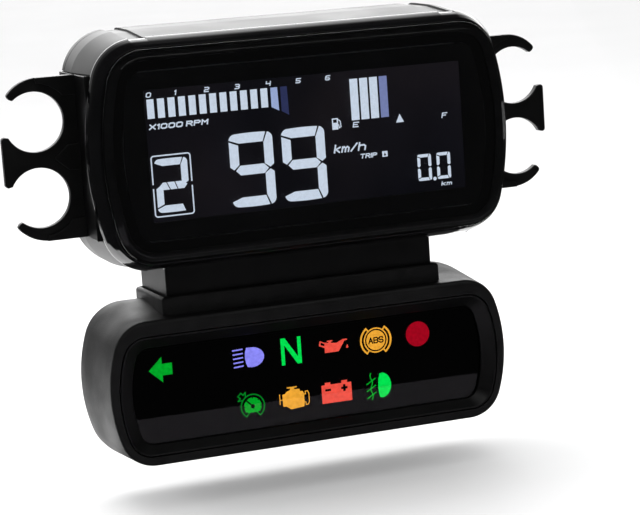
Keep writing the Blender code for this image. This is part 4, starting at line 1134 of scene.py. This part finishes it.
def make_icons():
    depth = (FILM_D[0] - 0.07, FILM_D[0] - 0.02)
    upper = -73.9                    # middle of the upper row

    def icon(name, polygons, glow, holes=(), merge=False):
        piece(flat(name, polygons, depth, holes, merge), "lamp_panel", glow)

    def arrow(tip, way):
        shape = [(0, 0), (4.7, 4.4), (4.7, 2.0), (8.2, 2.0), (8.2, -2.0), (4.7, -2.0), (4.7, -4.4)]
        return [(tip + way * x, upper + z) for x, z in shape]

    icon("icon_turn_left", [arrow(-56.7, 1)], "lit_soft_green")
    icon("icon_turn_right", [arrow(56.7, -1)], "icon_film")

    lamp = arc((-20.3, upper), 3.45, 96, -96, 24)
    lamp = [(-20.3 + (x + 20.3) * (1.28 if x > -20.3 else 1.0), z) for x, z in lamp]
    lamp += [(-22.0, -77.1), (-22.5, -75.6), (-22.75, -73.8), (-22.6, -72.0), (-22.1, -70.4)]
    rays = [stroke([(-27.1 + 0.05 * i, -70.85 - 1.47 * i), (-23.4, -70.7 - 1.45 * i)], 0.48)
            for i in range(5)]
    icon("icon_high_beam", [lamp] + rays, "lit_blue")

    n_shape = [(-9.7, -68.9), (-8.1, -68.9), (-3.65, -75.9), (-3.65, -68.9), (-2.4, -68.9), (-2.4, -78.3),
               (-4.0, -78.3), (-8.45, -71.3), (-8.45, -78.3), (-9.7, -78.3)]
    icon("icon_neutral", [n_shape], "lit_green")

    can = [(4.5, -71.6), (6.2, -72.35), (7.6, -72.6), (7.7, -72.25), (7.1, -72.2), (7.1, -71.8), (9.1, -71.8),
           (9.1, -72.2), (8.5, -72.25), (8.5, -72.65), (9.6, -72.85), (10.5, -72.95), (13.0, -71.9),
           (14.5, -71.95), (14.5, -72.35), (13.5, -72.5), (11.2, -76.0), (6.15, -76.0), (6.15, -74.2),
           (4.1, -73.3)]
    drop = [(14.5, -73.9), (14.75, -74.6), (14.85, -75.0), (14.45, -75.25), (14.05, -75.1), (14.05, -74.7)]
    hole = [(4.85, -72.15), (6.15, -72.75), (6.15, -73.6), (4.7, -73.05)]
    icon("icon_oil", [can, drop], "lit_red", [hole])

    mid = (25.1, -73.9)

    def band(radius, width, start, end):
        return arc(mid, radius, start, end, 32) + arc(mid, radius - width, end, start, 32)

    parts = [disc(mid, 3.5)] + [band(4.45, 0.45, start, start + 180) for start in (0, 180)]
    parts += [band(5.85, 0.65, start, start + 104) for start in (-52, 128)]
    for turn in (-52, 52, 128, 232):
        parts.append(stroke([polar(mid, r, turn) for r in (4.1, 5.85)], 0.5))
    icon("icon_abs", parts, "lit_amber", merge=True)
    letters = label("ABS", (22.25, 27.95), (-75.05, -72.75), 0.44, 0.0, 1.5)
    piece(flat("icon_abs_letters", letters, (depth[0] - 0.06, depth[0] - 0.01), merge=True), "lamp_panel",
          "icon_film")

    icon("icon_disc", [disc((40.8, -73.75), 4.42)], "lit_crimson")

    mid = (-21.2, -90.95)
    parts = [band(4.4, 0.45, -53, 233)]
    for side in (-1, 1):
        parts += lines([(mid[0] + side * 2.4, mid[1] - 3.3), (mid[0] + side * 1.4, mid[1] - 2.15)], 0.45)
    pointer = [(-2.45, 3.6), (-2.4, 5.1), (-3.2, 4.3), (-4.0, 5.1), (-5.1, 4.0), (-4.3, 3.2), (-5.1, 2.4),
               (-3.6, 2.45)]
    parts += lines([(mid[0] + x, mid[1] + z) for x, z in pointer], 0.42)
    icon("icon_cruise", parts, "lit_dim_green", merge=True)
    edge = [polar(mid, 3.1, -43.9 + 267.8 * i / 60) for i in range(61)]
    cuts = [disc(mid, 0.75, 24), stroke([mid, (mid[0] - 2.9, mid[1] + 2.9)], 0.5)]
    for turn in (-45, 0, 45, 90, 180, 225):
        cuts.append(stroke([polar(mid, r, turn) for r in (2.7, 3.6)], 0.4))
    icon("icon_cruise_disc", [edge], "lit_mid_green", cuts)

    engine = [(-10.4, -88.5), (-9.4, -88.35), (-8.9, -87.75), (-7.9, -87.35), (-7.5, -87.2), (-7.5, -86.55),
              (-8.6, -86.55), (-8.6, -86.15), (-5.0, -86.15), (-5.0, -86.55), (-5.95, -86.55), (-5.95, -87.1),
              (-4.15, -87.2), (-3.8, -88.1), (-3.0, -88.1), (-2.5, -89.0), (-2.5, -92.6), (-2.75, -93.6),
              (-7.5, -94.0), (-9.1, -92.8), (-10.3, -92.7)]
    fan = [(-2.5, -89.3), (-2.0, -89.3), (-2.0, -88.35), (-1.15, -88.3), (-0.75, -89.3), (-0.75, -92.2),
           (-1.15, -93.0), (-2.0, -93.05), (-2.0, -92.1), (-2.5, -92.1)]
    shaft = lines([(-11.35, -88.4), (-11.35, -91.8)], 0.3) + lines([(-11.3, -90.3), (-10.3, -90.3)], 0.26)
    icon("icon_engine", [engine] + lines(fan, 0.3) + shaft, "lit_amber", merge=True)

    battery = [(4.0, -87.3), (5.3, -87.3), (5.3, -86.5), (7.3, -86.5), (7.3, -87.3), (11.4, -87.3),
               (11.4, -86.4), (13.5, -86.4), (13.5, -87.3), (15.0, -87.3), (15.0, -93.8), (4.0, -93.8)]
    marks = [rect(5.3, 7.4, -89.55, -88.75),
             [(11.15, -89.5), (11.9, -89.5), (11.9, -90.3), (12.8, -90.3), (12.8, -89.5), (13.55, -89.5),
              (13.55, -88.65), (12.8, -88.65), (12.8, -87.85), (11.9, -87.85), (11.9, -88.65),
              (11.15, -88.65)]]
    icon("icon_battery", [battery], "lit_red", marks)

    half = [(25.4, -94.3), (25.0, -92.4), (24.9, -90.1), (25.1, -87.8), (25.6, -85.9)]
    half += [(26.0 + 3.75 * math.cos(math.radians(turn)), -90.1 + 4.5 * math.sin(math.radians(turn)))
             for turn in range(80, -81, -8)]
    icon("icon_fog_lamp", [half], "lit_green")
    wavy = [(22.45 + 0.35 * math.sin((z + 85.3) * 1.35), z) for z in [-85.3 - 0.4 * i for i in range(25)]]
    slashes = [stroke([(20.55, z), (24.1, z + 2.0)], 0.42) for z in (-89.3, -91.8, -94.3)]
    icon("icon_fog_rays", [stroke(wavy, 0.4)] + slashes, "lit_mid_green", merge=True)


# ---------------------------------------------------------------- stage, light and camera

def stage_sheet(name, paint, corners, z, gloss=False):
    """A flat sheet of the stage, in metres, y from the lens's front.

    The floor is for the eye and matt surfaces; with gloss, only shiny and clear surfaces see the sheet.
    """
    bm = bmesh.new()
    bm.faces.new([bm.verts.new((x, FRONT + y, z)) for x, y in corners])
    made = new_object(name, bm)
    made.visible_camera = made.visible_diffuse = made.visible_shadow = not gloss
    made.visible_glossy = made.visible_transmission = gloss
    made.data.materials.append(paint)


def make_floor_paint(name, light, dark, glow=0.0):
    """Plain matt paint for the floor and for the cards that only reflections show."""
    paint = Paint(name, light, Emission_Color=(1.0, 1.0, 1.0), Emission_Strength=glow)
    paint.blend(paint.ranged(paint.noise(3.0, 3.0), 0, 1), light, dark)
    paint.vary("Roughness", paint.noise(8.0, 2.0), 0.75, 0.9)
    paint.bump(paint.noise(700, 2.0), 0.02)
    return paint.material


SLIDE = max(joint["range_m"][1] for joint in frame["joints"] if joint["child"] == "lamp_panel")
FLOOR_GAP = 0.0005


def make_stage():
    floor = cad_box[0].z - SLIDE - FLOOR_GAP     # the lamp panel can slide down without touching it
    pale = make_floor_paint("floor", (0.90, 0.90, 0.90), (0.885, 0.885, 0.887))
    grey = make_floor_paint("grey_card", (0.32, 0.30, 0.33), (0.29, 0.27, 0.30))
    dull = make_floor_paint("dull_card", (0.46, 0.46, 0.46), (0.44, 0.44, 0.44))
    soft = make_floor_paint("soft_card", (0.9, 0.9, 0.9), (0.88, 0.88, 0.88), 0.9)
    stage_sheet("floor", pale, [(-9.0, -9.0), (9.0, -9.0), (9.0, 14.0), (-9.0, 14.0)], floor)
    stage_sheet("near_card", soft, [(-0.13, 0.06), (0.13, 0.06), (0.4, 0.42), (-0.4, 0.42)], floor, True)
    stage_sheet("middle_card", dull, [(-0.4, 0.42), (0.4, 0.42), (0.65, 1.0), (-0.65, 1.0)], floor, True)
    stage_sheet("far_card", grey, [(-0.65, 1.0), (0.65, 1.0), (6.5, 14.0), (-6.5, 14.0)], floor, True)
    stage_sheet("front_card", grey, [(-0.3, -0.123), (0.4, -0.103), (0.4, -0.02), (-0.3, -0.02)], floor, True)
    stage_sheet("right_card", dull, [(0.8, 0.3), (2.0, 0.3), (2.0, 1.0), (0.8, 1.0)], floor, True)


def make_world():
    """Pale to the eye and to matt surfaces. Gloss and glass see light behind and high in front, else dark."""
    world = bpy.data.worlds.new("studio")
    bpy.context.scene.world = world
    world.use_nodes = True
    tree = world.node_tree
    add, link = tree.nodes.new, tree.links.new
    path, place, parts = add("ShaderNodeLightPath"), add("ShaderNodeTexCoord"), add("ShaderNodeSeparateXYZ")
    link(place.outputs["Generated"], parts.inputs["Vector"])

    def ramp(axis, low, high, dark, bright):
        made = add("ShaderNodeMapRange")
        made.interpolation_type = "SMOOTHSTEP"
        for name, value in (("From Min", low), ("From Max", high), ("To Min", dark), ("To Max", bright)):
            made.inputs[name].default_value = value
        link(parts.outputs[axis], made.inputs["Value"])
        return made.outputs["Result"]

    def product(first, second, rest):
        made = add("ShaderNodeMath")
        made.operation = "MULTIPLY_ADD"
        for value, socket in zip((first, second, rest), made.inputs):
            if isinstance(value, float):
                socket.default_value = value
            else:
                link(value, socket)
        return made.outputs["Value"]

    front = product(ramp("Y", -0.5, -0.6, 0.0, 0.6), ramp("Z", 0.45, 0.55, 0.0, 1.0), 0.018)
    rear = product(ramp("Y", 0.6, 0.95, 0.0, 3.8), ramp("Z", 0.0, 0.16, 0.0, 1.0), 0.0)
    studio = product(rear, ramp("X", -0.25, 0.25, 0.36, 1.0), front)
    plain = add("ShaderNodeMath")
    plain.operation = "ADD"
    link(path.outputs["Is Camera Ray"], plain.inputs[0])
    link(path.outputs["Is Diffuse Ray"], plain.inputs[1])
    mix = add("ShaderNodeMix")
    link(plain.outputs["Value"], mix.inputs["Factor"])
    link(studio, mix.inputs["A"])
    mix.inputs["B"].default_value = 1.0
    link(mix.outputs["Result"], tree.nodes["Background"].inputs["Strength"])
    tree.nodes["Background"].inputs["Color"].default_value = (1.0, 1.0, 1.0, 1.0)


def area_light(name, place, target, size, power):
    data = bpy.data.lights.new(name, "AREA")
    data.shape = "RECTANGLE"
    data.size, data.size_y = size
    data.energy = power
    made = linked(name, data)
    made.location = place
    made.rotation_euler = (Vector(target) - Vector(place)).to_track_quat("-Z", "Y").to_euler()
    made.visible_glossy = made.visible_transmission = False


CAMERA_ANGLES = (-18.82, 9.24, -3.96)    # azimuth, elevation and roll
CAMERA_AWAY, FOCAL_LENGTH = 0.7136, 120.7    # metres to the aim point, and millimetres


def make_camera():
    """The photograph's viewpoint: a little left of the middle, a little above, a long lens."""
    azimuth, elevation, roll = (math.radians(angle) for angle in CAMERA_ANGLES)
    back = Vector((math.sin(azimuth) * math.cos(elevation), -math.cos(azimuth) * math.cos(elevation),
                   math.sin(elevation)))
    right = (-back).cross(Vector((0, 0, 1))).normalized()
    up = right.cross(-back)
    tilted = right * math.cos(roll) + up * math.sin(roll)
    upright = up * math.cos(roll) - right * math.sin(roll)
    aim = point(-0.42, 0.0, -38.93)
    data = bpy.data.cameras.new("camera")
    data.lens, data.sensor_width, data.sensor_fit = FOCAL_LENGTH, 36.0, "HORIZONTAL"
    data.clip_start, data.clip_end = 0.01, 40.0
    camera = linked("camera", data)
    turned = Matrix((tilted, upright, back)).transposed().to_4x4()
    camera.matrix_world = Matrix.Translation(aim + back * CAMERA_AWAY) @ turned
    bpy.context.scene.camera = camera


make_camera()
make_stage()
make_world()
area_light("top_light", (-0.1, 0.25, 0.9), (0, 0, -0.03), (0.9, 0.7), 6.0)
area_light("left_light", (-0.9, 0.15, 0.35), (0, 0, -0.03), (0.6, 0.6), 3.0)
bpy.context.scene.view_settings.view_transform = "Standard"

make_lens()
make_bezel()
make_mask()
make_housing()
make_rear_case()
make_rear_fittings()
make_button()
make_connector()
make_clip(-1, "left")
make_clip(1, "right")
make_neck()
make_panel_housing()
make_panel_front()
make_panel_rear()
make_dial()
make_icons()
